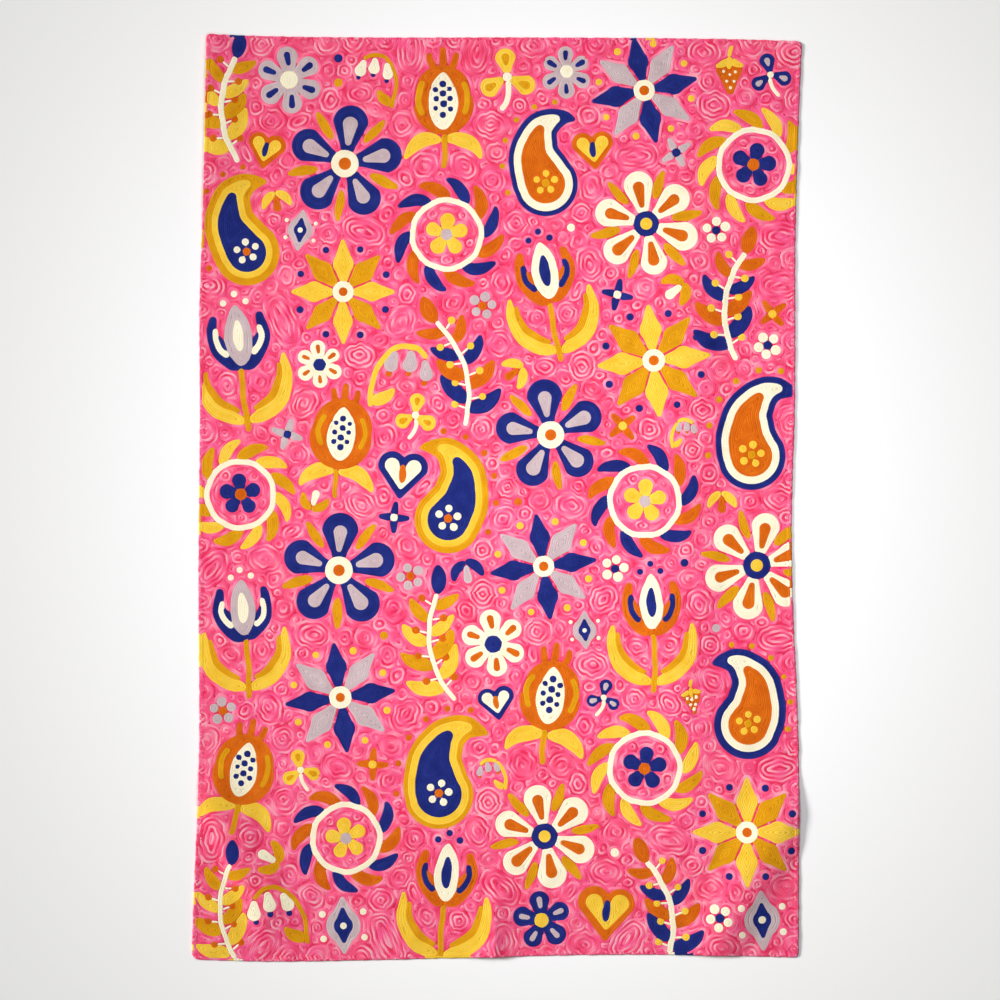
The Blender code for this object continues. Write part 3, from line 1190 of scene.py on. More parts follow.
@dataclass
class Roundels:
    """The ovals of the ground, in which the rows curl up. They are flattened where they meet."""

    radii: tuple[float, ...] = (0.0310, 0.0280, 0.0250, 0.0220, 0.0190, 0.0165, 0.0140, 0.0115)
    # Half the line inside an oval, as a share of its radius, and how much room beside it the oval may have.
    shapes: tuple[tuple[float, float], ...] = ((1.05, 1.08), (0.65, 1.12), (0.30, 1.15), (0.10, 9.0))
    headings: int = 8
    heading_stray: float = 0.4  # of the step from one heading to the next
    line_places: int = 5  # along the line inside an oval, where its room is measured
    rim_allowance: float = 0.006  # how far half an oval's length may reach over the rug's edge
    squeeze: float = 0.83  # the least room that an oval takes, as a share of its radius
    margin: float = 0.0015  # how far the rows of an oval reach past it, into the corners between ovals
    sharpness: float = 3.2  # of the turns that its rows make there
    crowding: float = 0.62  # how narrow its rows get where the oval is flattened
    eccentricity: float = 0.18  # the most that an inmost row lies off the middle
    stride: int = 2  # cells from one place that is tried to the next
    spare_cells: int = 2
    least_wall: float = 0.0001
    wobble: float = 0.0008  # how far a row strays from the oval's even shape
    stray_across: tuple[Wave, ...] = ((1.0, 61, 173, 0), (0.6, -90, 337, 1))
    stray_along: tuple[Wave, ...] = ((1.0, 187, -53, 2), (0.6, 311, 110, 0))
    hand: np.random.Generator = field(default_factory=lambda: np.random.default_rng(SEED + 1))
    ovals: list[Oval] = field(default_factory=list)

    def pack(self, stitch_map: StitchMap, free: Array) -> None:
        """Finds room for the ovals, the widest first, the long ones where they just fit in.

        Args:
            stitch_map: The map with all figures in it.
            free: How far each cell lies inside the open ground.
        """
        cell = self.stride * CELL
        rim = int(self.radii[0] * self.shapes[0][0] / cell) + self.spare_cells
        room = np.pad(free[:: self.stride, :: self.stride], rim, constant_values=-1.0)
        inside = stitch_map.edge[:: self.stride, :: self.stride]
        low = stitch_map.low - rim * cell
        for radius in self.radii:
            least = self.squeeze * radius
            for share, beside in self.shapes:
                half = share * radius
                for turn in self.hand.permutation(self.headings):
                    stray = self.hand.uniform(-self.heading_stray, self.heading_stray)
                    heading = math.pi * (turn + stray) / self.headings
                    line = np.linspace(-1, 1, self.line_places) * half / cell
                    steps = np.rint(np.outer(line, (math.sin(heading), math.cos(heading)))).astype(int)
                    fits = room[rim:-rim, rim:-rim] < beside * radius
                    fits &= inside > min(half, 2 * half - self.rim_allowance)
                    for up, across in steps:
                        moved = np.roll(room, (-up, -across), axis=(0, 1))
                        fits &= moved[rim:-rim, rim:-rim] >= least
                    rows, columns = np.nonzero(fits)
                    for pick in self.hand.permutation(len(rows)):
                        row, column = int(rows[pick]) + rim, int(columns[pick]) + rim
                        if all(room[row + up, column + across] >= least for up, across in steps):
                            self.add_oval(room, low, row, column, (radius, half, heading))

    def add_oval(self, room: Array, low: Array, row: int, column: int, sizes: tuple[float, ...]) -> None:
        """Puts an oval down and takes its place from the room that is left.

        Args:
            room: How much room there is round each place that is tried.
            low: The lowest of these places.
            row: The row of the place of the oval's middle.
            column: Its column.
            sizes: The oval's radius, half line and heading.
        """
        cell = self.stride * CELL
        lean, off = self.hand.uniform(0, 2 * math.pi), self.hand.uniform(0, self.eccentricity)
        middle = (float(low[0] + column * cell), float(low[1] + row * cell))
        oval = Oval(middle, *sizes, (off * math.cos(lean), off * math.sin(lean)))
        self.ovals.append(oval)
        near = int((2 * oval.radius + oval.half_line) / cell) + self.spare_cells
        bottom, left = max(0, row - near), max(0, column - near)
        part = room[bottom : row + near, left : column + near]
        y, x = np.ogrid[bottom : bottom + part.shape[0], left : left + part.shape[1]]
        np.minimum(part, oval.outside(low[0] + cell * x, low[1] + cell * y), out=part)

    def spread(self, stitch_map: StitchMap, free: Array) -> tuple[Array, Array]:
        """Divides the open ground among the ovals.

        Args:
            stitch_map: The map with all figures in it.
            free: How far each cell lies inside the open ground.

        Returns:
            The depth of each cell inside its oval or in the ground between them, and the number of its oval.
        """
        self.pack(stitch_map, free)
        nearest = np.full(free.shape, REACH, dtype=np.float32)
        second = nearest.copy()
        number = np.zeros(free.shape, dtype=np.int32)
        for index, oval in enumerate(self.ovals):
            centre, size = np.array(oval.middle), oval.radius + oval.half_line
            window = stitch_map.window(centre - size, centre + size, self.margin + self.radii[0])
            away = oval.outside(*self.strayed(stitch_map.x[None, window[1]], stitch_map.y[window[0], None]))
            best, runner = nearest[window], second[window]
            closer = away < best
            second[window] = np.where(closer, best, np.minimum(runner, away))
            nearest[window] = np.where(closer, away, best)
            number[window] = np.where(closer, index + 1, number[window])
        number[(nearest >= self.margin) | (free <= 0)] = 0
        walls = (free / self.crowding, (second - nearest) / 2 / self.crowding, self.margin - nearest)
        total = sum(np.maximum(wall, self.least_wall).astype(np.float64) ** -self.sharpness for wall in walls)
        within = total ** (-1 / self.sharpness)
        log.info("roundels: %d", len(self.ovals))
        return np.where(number > 0, within, np.minimum(free, nearest - self.margin)), number

    def strayed(self, x: Array, y: Array) -> tuple[Array, Array]:
        """Places moved a little this way and that, so that what is drawn there is less even."""
        across, up = ripple(x, y, *self.stray_across), ripple(x, y, *self.stray_along)
        return x + self.wobble * across, y + self.wobble * up


@dataclass
class GroundTones:
    """How light the pink of the ground is at each place, from -1, the deepest, to 1, the palest."""

    middles: Array  # of the roundels, the first one for the ground between them
    hand: np.random.Generator = field(default_factory=lambda: np.random.default_rng(SEED + 3))
    weakest: float = 0.28  # of the change from row to row
    strongest: float = 0.74
    between: float = 0.25  # the same in the ground between the roundels
    lightness: float = -0.08  # of an even tone
    spread: float = 0.10  # of the tones of roundels and of rows about their own
    row_spread: float = 0.15  # of the rows that hug the figures
    fade: float = 0.42  # how much a row lightens and darkens along its length
    fades: Place = (0.035, 0.075)  # the least and the greatest length that it does so over
    mottle: float = 0.16
    mottles: tuple[Wave, ...] = ((1.0, 83, 37, 0), (1.0, -29, 71, 2), (1.0, 133, -101, 4))

    def __post_init__(self) -> None:
        """Draws by lot for each roundel whether its rows make rings or a spiral, and how strong they are."""
        count = len(self.middles)
        self.spin = self.hand.choice((-1, 0, 1), count)
        rings, spirals = self.hand.integers(0, 2, count) * math.pi, self.hand.uniform(0, 7, count)
        self.phase = np.where(self.spin == 0, rings, spirals)
        self.strength = self.hand.uniform(self.weakest, self.strongest, count)
        self.offset = self.hand.normal(self.lightness, self.spread, count)
        self.strength[0] = self.between

    def turned(self, x: Array, y: Array, number: Array | int) -> Array:
        """How far the change from row to row has gone on at places in roundels, in radians."""
        across, up = x - self.middles[number][..., 0], y - self.middles[number][..., 1]
        return self.spin[number] * np.arctan2(up, across) + self.phase[number]

    def drift(self, points: Array) -> Array:
        """A soft mottle over the whole rug, from -1 to 1."""
        return ripple(*points.T, *self.mottles) / len(self.mottles)

    def along(self, points: Array) -> Array:
        """Lightens and darkens a row's own dye along its length.

        Args:
            points: The row's points.

        Returns:
            How light each point is, from -1 to 1.
        """
        steps = np.hypot(*np.diff(points, axis=0, prepend=points[:1]).T)
        way = np.cumsum(steps)
        waves = max(1, round(float(way[-1]) / self.hand.uniform(*self.fades)))
        start = self.hand.uniform(0, 2 * math.pi)
        return np.sin(2 * math.pi * waves * way / max(float(way[-1]), 1e-6) + start)

    def in_roundel(self, number: int, level: int, points: Array) -> Array:
        """The tones along one row of a roundel, or of the ground between them.

        Args:
            number: The roundel's number.
            level: The row's number from the outside.
            points: The row's points.

        Returns:
            The tone at each point.
        """
        wave = np.cos(math.pi * level + self.turned(points[:, 0], points[:, 1], number))
        own = self.along(points) * self.fade + self.hand.normal(0, self.spread)
        total = self.strength[number] * wave + self.offset[number] + own
        return np.clip(total + self.mottle * self.drift(points), -1, 1)

    def round_figures(self, points: Array) -> Array:
        """The tones along a row of the ground that hugs the figures."""
        own = self.along(points) * self.fade + self.hand.normal(self.lightness, self.row_spread)
        return np.clip(own + self.mottle * self.drift(points), -1, 1)


def trace(values: Array, level: float) -> list[tuple[Array, int, int]]:
    """The closed lines along which a grid of values passes a level.

    Args:
        values: The grid.
        level: The level.

    Returns:
        For each line its points in cells (column, row), with the higher side on its left, and the row and
        column of a cell on that side.
    """
    above = values > level
    rows, columns = values.shape
    corners = (above[:-1, :-1], above[:-1, 1:], above[1:, 1:], above[1:, :-1])
    size = values.size
    cell = np.arange(size).reshape(rows, columns)
    sides = (cell[:-1, :-1], size + cell[:-1, 1:], cell[1:, :-1], size + cell[:-1, :-1])
    starts, ends = [], []
    for side in range(4):
        leaving = corners[side] & ~corners[(side + 1) % 4]
        for back in range(1, 4):
            turned = leaving & ~corners[(side - back) % 4]
            starts.append(sides[side][turned])
            ends.append(sides[(side - back) % 4][turned])
            leaving = leaving & corners[(side - back) % 4]
    start, end = np.concatenate(starts), np.concatenate(ends)
    order = np.argsort(start)
    start, end = start[order], end[order]
    following = np.searchsorted(start, end)
    upright = start >= size
    first = start % size
    other = first + np.where(upright, columns, 1)
    flat = values.reshape(-1)
    share = (level - flat[first]) / (flat[other] - flat[first])
    points = np.column_stack([first % columns, first // columns]).astype(float)
    points[:, 0] += np.where(upright, 0, share)
    points[:, 1] += np.where(upright, share, 0)
    high = np.where(flat[first] > level, first, other)
    steps = following.tolist()
    seen = bytearray(len(steps))
    lines = []
    for begin in range(len(steps)):
        if seen[begin]:
            continue
        chain = []
        at = begin
        while not seen[at]:
            seen[at] = 1
            chain.append(at)
            at = steps[at]
        lines.append((points[chain], int(high[begin]) // columns, int(high[begin]) % columns))
    return lines


def resampled(points: Array, count: int, closed: bool) -> Array:
    """Spaces a line's points evenly.

    Args:
        points: The line.
        count: How many points it is to have.
        closed: Whether it runs back to its first point.

    Returns:
        The same line with other points.
    """
    line = np.vstack([points, points[:1]]) if closed else points
    lengths = np.concatenate([[0], np.cumsum(np.hypot(*np.diff(line, axis=0).T))])
    targets = np.linspace(0, lengths[-1], count, endpoint=not closed)
    return np.column_stack([np.interp(targets, lengths, line[:, axis]) for axis in (0, 1)])


@dataclass
class Row:
    """One row of stitches: its points at every half stitch, and the half widths of its two sides.

    The row that wraps the rug's edge has no such widths, but the profile of the edge.
    """

    yarn: Yarn
    points: Array
    closed: bool
    tint: Array
    outer: Array | None = None
    inner: Array | None = None
    out: Array | None = None
    bulge: Array | None = None

    def normals(self) -> Array:
        """Works out which way the row's right side faces.

        Returns:
            The direction at each point.
        """
        if self.out is not None:
            return self.out
        if self.closed:
            run = np.roll(self.points, -1, axis=0) - np.roll(self.points, 1, axis=0)
        else:
            run = np.gradient(self.points, axis=0)
        run = run / np.maximum(np.linalg.norm(run, axis=1, keepdims=True), 1e-9)
        return np.column_stack([run[:, 1], -run[:, 0]])

    def part(self, yarn: Yarn, start: int, stop: int) -> "Row":
        """Takes out a stretch of this row.

        Args:
            yarn: The yarn of the stretch.
            start: Its first point.
            stop: Its last one.

        Returns:
            The stretch.
        """
        along = np.arange(start, stop + 1) % len(self.points)
        sizes = (self.outer, self.inner, self.normals(), self.bulge)
        kept = [None if size is None else size[along] for size in sizes]
        return Row(yarn, self.points[along], False, self.tint[along], *kept)

    def lines(self) -> Array:
        """The row's shape.

        Returns:
            Lines along the row, from its right over its crest to its left, each a list of x, y and height.
        """
        joint = np.arange(len(self.points)) % 2 == 0
        sink = np.where(joint, CREST_HEIGHT - JOINT_HEIGHT, 0.0)
        out = self.normals()
        if self.outer is None:
            crest = max(height for _off, height, _share in HEM_PROFILE)
            places = [
                (off + share * self.bulge, height - sink * (height / crest) ** 2)
                for off, height, share in HEM_PROFILE
            ]
        else:
            pinch = np.where(joint, JOINT_PINCH, 1.0)
            right, left = self.outer * pinch, -self.inner * pinch
            level = np.full(len(joint), EDGE_HEIGHT)
            places = [(right, level), ((right + left) / 2, CREST_HEIGHT - sink), (left, level)]
        return np.stack([np.column_stack([self.points + out * off[:, None], high]) for off, high in places])


@dataclass
class Embroidery:
    """All the rows of the rug, worked out from its design."""

    form: RugForm
    light_share: float = 0.09  # how much narrower a light row of the ground is than a dark one
    edge_bulge: float = 0.0007  # how far the rug's edge stands out of its outline, on average
    edge_waves: tuple[int, ...] = (131, 213, 309)  # how often it swings out and in round the rug
    fine: int = 60  # points along a line that is one row alone, to find where it shows
    end_width: float = 0.7  # the width of its ends, as a share of its own
    halo: float = 0.98  # how deep the row that hugs the figures reaches, as a share of its pitch
    spare: float = 0.12  # of a row: what a patch may be too shallow by, and still get that row
    shallow: float = 0.001  # the depth of a patch up to which it isn't stretched to whole rows
    stretch: Place = (1.3, 2.0)  # between the roundels, and the most of it elsewhere
    smoothings: int = 3  # of a traced line
    overhang: float = 0.0006  # how far a row may reach over the rug's edge
    probe: float = 0.4  # of a pitch, over which the slope of the depth is measured
    slopes: Place = (0.75, 2.0)  # the least and the most of it
    innermost: float = 0.97  # of a pitch: with less room than this on its inside, a row is an innermost one
    least_inside: float = 0.12  # of a pitch, the least that it spreads there
    number_step: int = 100  # from one roundel to the next where rows of all roundels are numbered
    hand: np.random.Generator = field(default_factory=lambda: np.random.default_rng(SEED + 2))
    rows: list[Row] = field(default_factory=list)

    def __post_init__(self) -> None:
        """Draws the design on a map of the rug."""
        self.map = StitchMap(self.form)
        self.design = Design()
        self.design.lay_out()
        for stroke in self.design.strokes:
            self.map.paint(stroke)
        self.design.fill_gaps(self.map)

    def work(self) -> None:
        """Works all rows: of the figures and the ground round them, of the roundels, and round the edge."""
        ground = self.map.owner == 0
        figures = self.whole_rows(self.map.depth, self.map.owner)
        halo = np.minimum(self.map.clear, self.halo * PITCH)
        free = np.where(ground, self.map.clear, 0) - PITCH
        roundels = Roundels()
        depth, number = roundels.spread(self.map, free.astype(np.float32))
        self.tones = GroundTones(np.array([(0.0, 0.0)] + [oval.middle for oval in roundels.ovals]))
        self.follow(np.where(ground, halo, figures), self.map.owner, self.figure_tone)
        turns = self.whole_rows(depth, number) / PITCH
        turned = self.tones.turned(self.map.x[None, :], self.map.y[:, None], number)
        # The outermost row of a roundel keeps its width.
        narrowing = np.sin(math.pi * (turns - 0.5) + turned) * np.clip(2 * turns - 0.6, 0, 1)
        turns += self.light_share * narrowing
        self.follow(turns * PITCH, number, self.tones.in_roundel)
        self.single_rows()
        self.wrap_edge(np.floor(np.maximum(turns, 0)).astype(int), number)

    def whole_rows(self, depth: Array, owner: Array) -> Array:
        """Stretches the depth in each patch so that a whole number of rows fits in.

        Args:
            depth: How deep each cell lies in its patch.
            owner: The number of its patch.

        Returns:
            The stretched depth.
        """
        deepest = np.zeros(owner.max() + 1)
        np.maximum.at(deepest, owner.reshape(-1), depth.reshape(-1))
        rows = np.maximum(1, np.ceil(deepest / PITCH - self.spare))
        scale = np.minimum(rows * PITCH / np.maximum(deepest, self.shallow), self.stretch[1])
        scale[deepest <= self.shallow] = 1.0
        scale[0] = self.stretch[0]
        return (depth * scale[owner]).astype(np.float32)

    def figure_tone(self, owner: int, _level: int, points: Array) -> Array | None:
        """The tones of a row of ground that hugs the figures. None for a row in a figure."""
        return None if owner else self.tones.round_figures(points)

    def follow(self, depth: Array, owner: Array, tone_of: Callable[[int, int, Array], Array | None]) -> None:
        """Lays rows along the lines of equal depth, as far as they lie on the rug.

        Args:
            depth: Depth of each cell, scaled so that a whole number of rows fits in.
            owner: What each cell belongs to.
            tone_of: Gives the tones of a row, or None in a figure, from its owner, level and points.
        """
        depth = depth.copy()
        depth[[0, -1], :] = -1.0
        depth[:, [0, -1]] = -1.0
        for level in range(int(depth.max() / PITCH) + 1):
            for cells, row, column in trace(depth, (level + 0.5) * PITCH):
                points = cells * CELL + self.map.low
                for _ in range(self.smoothings):
                    points = self.evened(points)
                for part, closed in self.cut(points):
                    line = np.vstack([part, part[:1]]) if closed else part
                    length = float(np.hypot(*np.diff(line, axis=0).T).sum())
                    if length > SHORTEST_LOOP:
                        whose = int(owner[row, column])
                        stitches = round(length / STITCH + (2 if closed else 0)) or 1
                        points_of = resampled(part, 2 * stitches + (0 if closed else 1), closed)
                        self.lay(depth, points_of, closed, whose, tone_of(whose, level, points_of))

    def cut(self, points: Array) -> list[tuple[Array, bool]]:
        """The parts of a closed line that lie on the rug.

        Args:
            points: The line.

        Returns:
            Each part, and whether it is the whole closed line.
        """
        kept = self.map.read(self.map.edge, points) > -self.overhang
        if kept.all():
            return [(points, True)]
        first = int(np.argmin(kept))
        points, kept = np.roll(points, -first, axis=0), np.roll(kept, -first)
        change = np.diff(np.concatenate([kept.astype(np.int8), [0]]))
        starts, stops = np.nonzero(change == 1)[0], np.nonzero(change == -1)[0]
        return [(points[start : stop + 2], False) for start, stop in zip(starts, stops) if stop > start + 1]

    def lay(self, depth: Array, points: Array, closed: bool, owner: int, tone: Array | None) -> None:
        """Lays one row, in a figure as a whole, in the ground in stretches of several pinks.

        Args:
            depth: Depth of each cell.
            points: The row's points, with the deeper side on its left.
            closed: Whether it is closed.
            owner: The stroke of the design that it belongs to.
            tone: The tone of its pink at each point, or None for a row in a figure.
        """
        yarn = self.map.strokes[owner].yarn if tone is None else Yarn.ROSE
        row = Row(yarn, points, closed, self.one_tint(len(points)) if tone is None else (tone + 1) / 2)
        row.out = row.normals()
        here = self.map.read(depth, points)
        step = self.probe * PITCH
        slope = np.clip((here - self.map.read(depth, points + row.out * step)) / step, *self.slopes)
        pitch = PITCH / slope
        inward = self.map.read(depth, points - row.out * pitch[:, None])
        ridge = ((inward - here) / slope + pitch) / 2
        inner = np.clip(ridge, self.least_inside * pitch, pitch) + RIDGE_OVERLAP
        row.outer = self.evened(pitch / 2 + OVERLAP)
        row.inner = self.evened(np.where(ridge < self.innermost * pitch, inner, pitch / 2 + OVERLAP))
        if tone is None:
            self.rows.append(row)
        else:
            self.add_in_pinks(row, tone)

    def one_tint(self, count: int) -> Array:
        """One tint, drawn by lot, for all points of a row."""
        return np.full(count, float(self.hand.random()))

    def add_in_pinks(self, row: Row, tone: Array) -> None:
        """Adds a row of the ground, parted where it changes from one pink to another.

        Args:
            row: The row, with two points to a stitch.
            tone: The tone of each point.
        """
        kinds = np.digitize(tone[1::2], [upto for _pink, upto in PINKS])
        marks = (np.nonzero(np.diff(kinds))[0] + 1).tolist()
        marks = [0] + marks + [len(kinds)]
        if len(marks) == 2:
            row.yarn = PINKS[int(kinds[0])][0]
            self.rows.append(row)
            return
        for start, stop in zip(marks, marks[1:]):
            self.rows.append(row.part(PINKS[int(kinds[start])][0], 2 * start, 2 * stop))

    @staticmethod
    def evened(values: Array) -> Array:
        """Points or widths along a row, each evened out with its neighbours."""
        return (np.roll(values, 1, axis=0) + 2 * values + np.roll(values, -1, axis=0)) / 4

    def single_rows(self) -> None:
        """Lays the lines that are one row alone, where nothing covers them."""
        for index, stroke in enumerate(self.map.strokes):
            if stroke is None or not stroke.single:
                continue
            for points, _radii in stroke.bands:
                line = resampled(points, self.fine, closed=False)
                shown = np.nonzero(self.map.nearest(self.map.owner, line) == index)[0]
                if len(shown) < 3:
                    continue
                line = line[shown[0] : shown[-1] + 1]
                length = np.hypot(*np.diff(line, axis=0).T).sum()
                line = resampled(line, max(3, 2 * round(length / STITCH) + 1), closed=False)
                width = np.full(len(line), LINE_RADIUS)
                width[[0, -1]] *= self.end_width
                self.rows.append(Row(stroke.yarn, line, False, self.one_tint(len(line)), width, width))

    def wrap_edge(self, levels: Array, number: Array) -> None:
        """Lays the row that wraps the rug's edge, in the yarn of whatever lies beside it.

        Args:
            levels: The level of the ground's row at each cell.
            number: The number of the roundel at each cell.
        """
        outline = self.form.outline()
        length = np.hypot(*(np.roll(outline, -1, axis=0) - outline).T).sum()
        line = resampled(outline, 2 * round(length / STITCH), closed=True)
        whole = Row(Yarn.ROSE, line, True, np.full(len(line), 0.5))
        turn = np.linspace(0, 2 * math.pi, len(line), endpoint=False)
        waves = sum(np.sin(times * turn + times) for times in self.edge_waves) / len(self.edge_waves)
        whole.bulge = self.edge_bulge * (1 + waves)
        beside = line - whole.normals() * (HEM_ROW + 0.5 * PITCH)
        owners = self.map.nearest(self.map.owner, beside)
        numbers = self.map.nearest(number, beside) * self.number_step + self.map.nearest(levels, beside)
        rows = np.where(owners > 0, -owners, numbers)
        starts = np.nonzero(rows != np.roll(rows, 1))[0]
        starts = np.unique(starts // 2 * 2).tolist()
        for start, stop in zip(starts, starts[1:] + [starts[0] + len(line)]):
            owner = int(owners[start])
            if owner:
                self.rows.append(whole.part(self.map.strokes[owner].yarn, start, stop))
                continue
            along = np.arange(start, stop + 1) % len(line)
            tone = self.tones.in_roundel(*divmod(int(rows[start]), self.number_step), beside[along])
            row = whole.part(Yarn.ROSE, start, stop)
            row.tint = (tone + 1) / 2
            self.add_in_pinks(row, tone)


@dataclass
class Cloth:
    """The rug's form, and the relief of its stitched face."""

    form: RugForm
    map: StitchMap
    hem: float = 0.0075  # width of the rolled edge
    hem_rise: float = 0.0004
    seam_place: float = 1.15  # of the hem's sewing behind the edge, as a share of the hem's width
    seam_width: float = 0.0022
    groove: float = 0.0003  # how far the sewing draws the cloth down
    unevenness: float = 0.0005
    # Each pair of waves, one times the other
    waves: tuple[tuple[Wave, Wave], ...] = (
        ((1.0, 61, 23, 0), (1.0, -19, 47, 1)), ((0.6, 113, 0, 2), (1.0, 0, 97, 0)),
    )

    def relief(self, points: Array) -> Array:
        """Works out the stitched face's own relief, in the hem and by its unevenness.

        Args:
            points: Places on the rug.

        Returns:
            How far the face stands above its even height at each.
        """
        inwards = self.map.read(self.map.edge, points) + HEM_ROW
        roll = self.hem_rise * np.sin(math.pi * np.clip(inwards / self.hem, 0, 1)) ** 2
        seam = self.groove * np.exp(-(((inwards - self.seam_place * self.hem) / self.seam_width) ** 2))
        uneven = sum(ripple(*points.T, first) * ripple(*points.T, second) for first, second in self.waves)
        return roll - seam + self.unevenness * uneven

    def raised(self, points: Array, height: Array) -> Array:
        """Points this high above the cloth's underside, which is level, while the stitched face is uneven."""
        relief = self.relief(points) * np.clip(height / EDGE_HEIGHT, 0, 1)
        return np.column_stack([points, self.form.lift(points[:, 0], points[:, 1]) + height + relief])


def new_mesh(name: str, points: Array, quads: Array) -> Mesh:
    """A mesh of four-sided faces.

    Args:
        name: The mesh's name.
        points: Its points.
        quads: The four points of each face.

    Returns:
        The mesh, shaded smooth.
    """
    mesh = bpy.data.meshes.new(name)
    mesh.vertices.add(len(points))
    mesh.vertices.foreach_set("co", points.astype(np.float32).reshape(-1))
    mesh.loops.add(quads.size)
    mesh.loops.foreach_set("vertex_index", quads.astype(np.int32).reshape(-1))
    mesh.polygons.add(len(quads))
    mesh.polygons.foreach_set("loop_start", np.arange(0, quads.size, 4, dtype=np.int32))
    mesh.update(calc_edges=True)
    mesh.validate()
    mesh.shade_smooth()
    return mesh


def add_uv(mesh: Mesh, name: str, corners: Array) -> None:
    """Gives a mesh a UV map, from a place for each corner of its faces."""
    layer = mesh.uv_layers.new(name=name)
    layer.data.foreach_set("uv", corners.astype(np.float32).reshape(-1))


def add_value(mesh: Mesh, name: str, values: Array) -> None:
    """Gives a mesh a number at each of its points."""
    attribute = mesh.attributes.new(name, "FLOAT", "POINT")
    attribute.data.foreach_set("value", values.astype(np.float32))


def add_flat_uv(mesh: Mesh, points: Array, quads: Array) -> None:
    """Gives a mesh a UV map of the rug as seen from above."""
    span = 1.90  # a little more than the rug's length
    add_uv(mesh, "OFBake", points[quads.reshape(-1), :2] / span + 0.5)


def show(mesh: Mesh, material: Material) -> Object:
    """Makes a mesh a piece of the rug.

    Args:
        mesh: The mesh.
        material: Its finish.

    Returns:
        The piece.
    """
    piece = bpy.data.objects.new(mesh.name, mesh)
    bpy.context.scene.collection.objects.link(piece)
    mesh.materials.append(material)
    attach(piece, "root")
    log.info("%s: %d triangles", piece.name, sum(len(face.vertices) - 2 for face in mesh.polygons))
    return piece


@dataclass(frozen=True)
class Wire:
    """A number inside a material. Arithmetic on it adds Math nodes."""

    graph: "Graph"
    socket: NodeSocket

    def math(self, operation: str, *others: "Wire | float", swapped: bool = False) -> "Wire":
        """Puts this number through a Math node.

        Args:
            operation: What the node does.
            others: The values that it does this with.
            swapped: Whether this number comes last.

        Returns:
            The result.
        """
        values = [self, *others]
        if swapped:
            values.reverse()
        return self.graph.node("Math", dict(enumerate(values)), operation=operation)

    __add__ = partialmethod(math, "ADD")
    __radd__ = partialmethod(math, "ADD", swapped=True)
    __sub__ = partialmethod(math, "SUBTRACT")
    __rsub__ = partialmethod(math, "SUBTRACT", swapped=True)
    __mul__ = partialmethod(math, "MULTIPLY")
    __rmul__ = partialmethod(math, "MULTIPLY", swapped=True)
    __truediv__ = partialmethod(math, "DIVIDE")
    __pow__ = partialmethod(math, "POWER")
    __abs__ = partialmethod(math, "ABSOLUTE")
    sine = partialmethod(math, "SINE")
    fraction = partialmethod(math, "FRACT")

    def clamped(self) -> "Wire":
        """This, kept between 0 and 1."""
        return self.math("MAXIMUM", 0.0).math("MINIMUM", 1.0)


@dataclass
class Graph:
    """The nodes of one material."""

    name: str

    def __post_init__(self) -> None:
        """Starts the material with its Principled shader."""
        self.material = bpy.data.materials.new(self.name)
        self.material.use_nodes = True
        self.tree = self.material.node_tree
        self.shader = self.tree.nodes["Principled BSDF"]

    def plug(self, socket: NodeSocket, value: "Wire | float | tuple") -> None:
        """Sets a socket to a value, or links a wire to it.

        Args:
            socket: The socket.
            value: The value or the wire.
        """
        if isinstance(value, Wire):
            self.tree.links.new(value.socket, socket)
        else:
            socket.default_value = value

    def node(self, kind: str, sockets: dict, output: int | str = 0, **settings: str | bool) -> Wire:
        """Adds a node.

        Args:
            kind: The node's type, without the ShaderNode that all begin with.
            sockets: The values or wires of its sockets, by name or number.
            output: Which of its outputs to give back.
            settings: What is set on the node itself, first.

        Returns:
            That output.
        """
        node = self.tree.nodes.new(f"ShaderNode{kind}")
        for name, value in settings.items():
            setattr(node, name, value)
        for name, value in sockets.items():
            self.plug(node.inputs[name], value)
        return Wire(self, node.outputs[output])

    def mix(self, share: "Wire | float", first: "Wire | tuple", second: "Wire | tuple") -> Wire:
        """A colour between two others."""
        return self.node("Mix", {0: share, 6: first, 7: second}, 2, data_type="RGBA", clamp_factor=True)

    def noise(self, place: Wire, scale: float, detail: float, roughness: float = 0.5) -> Wire:
        """A soft noise at a place."""
        sockets = {"Vector": place, "Scale": scale, "Detail": detail, "Roughness": roughness}
        return self.node("TexNoise", sockets)

    def bump(self, strength: float, depth: float, height: Wire) -> None:
        """Gives the shader a relief that is only shaded."""
        self.set("Normal", self.node("Bump", {"Strength": strength, "Distance": depth, "Height": height}))

    def set(self, name: str, value: "Wire | float | tuple") -> None:
        """Sets or links a socket of the shader."""
        self.plug(self.shader.inputs[name], value)


def linear(colour: Colour, shade: float = 1.0) -> tuple[float, float, float, float]:
    """Turns a colour of 0 to 255 a channel into the shader's own numbers.

    Args:
        colour: The colour.
        shade: What its light is scaled by.

    Returns:
        Its channels, with full opacity.
    """
    parts = []
    for channel in colour:
        share = channel / 255
        value = share / 12.92 if share <= 0.04045 else ((share + 0.055) / 1.055) ** 2.4
        parts.append(min(1.0, value * shade))
    return (*parts, 1.0)


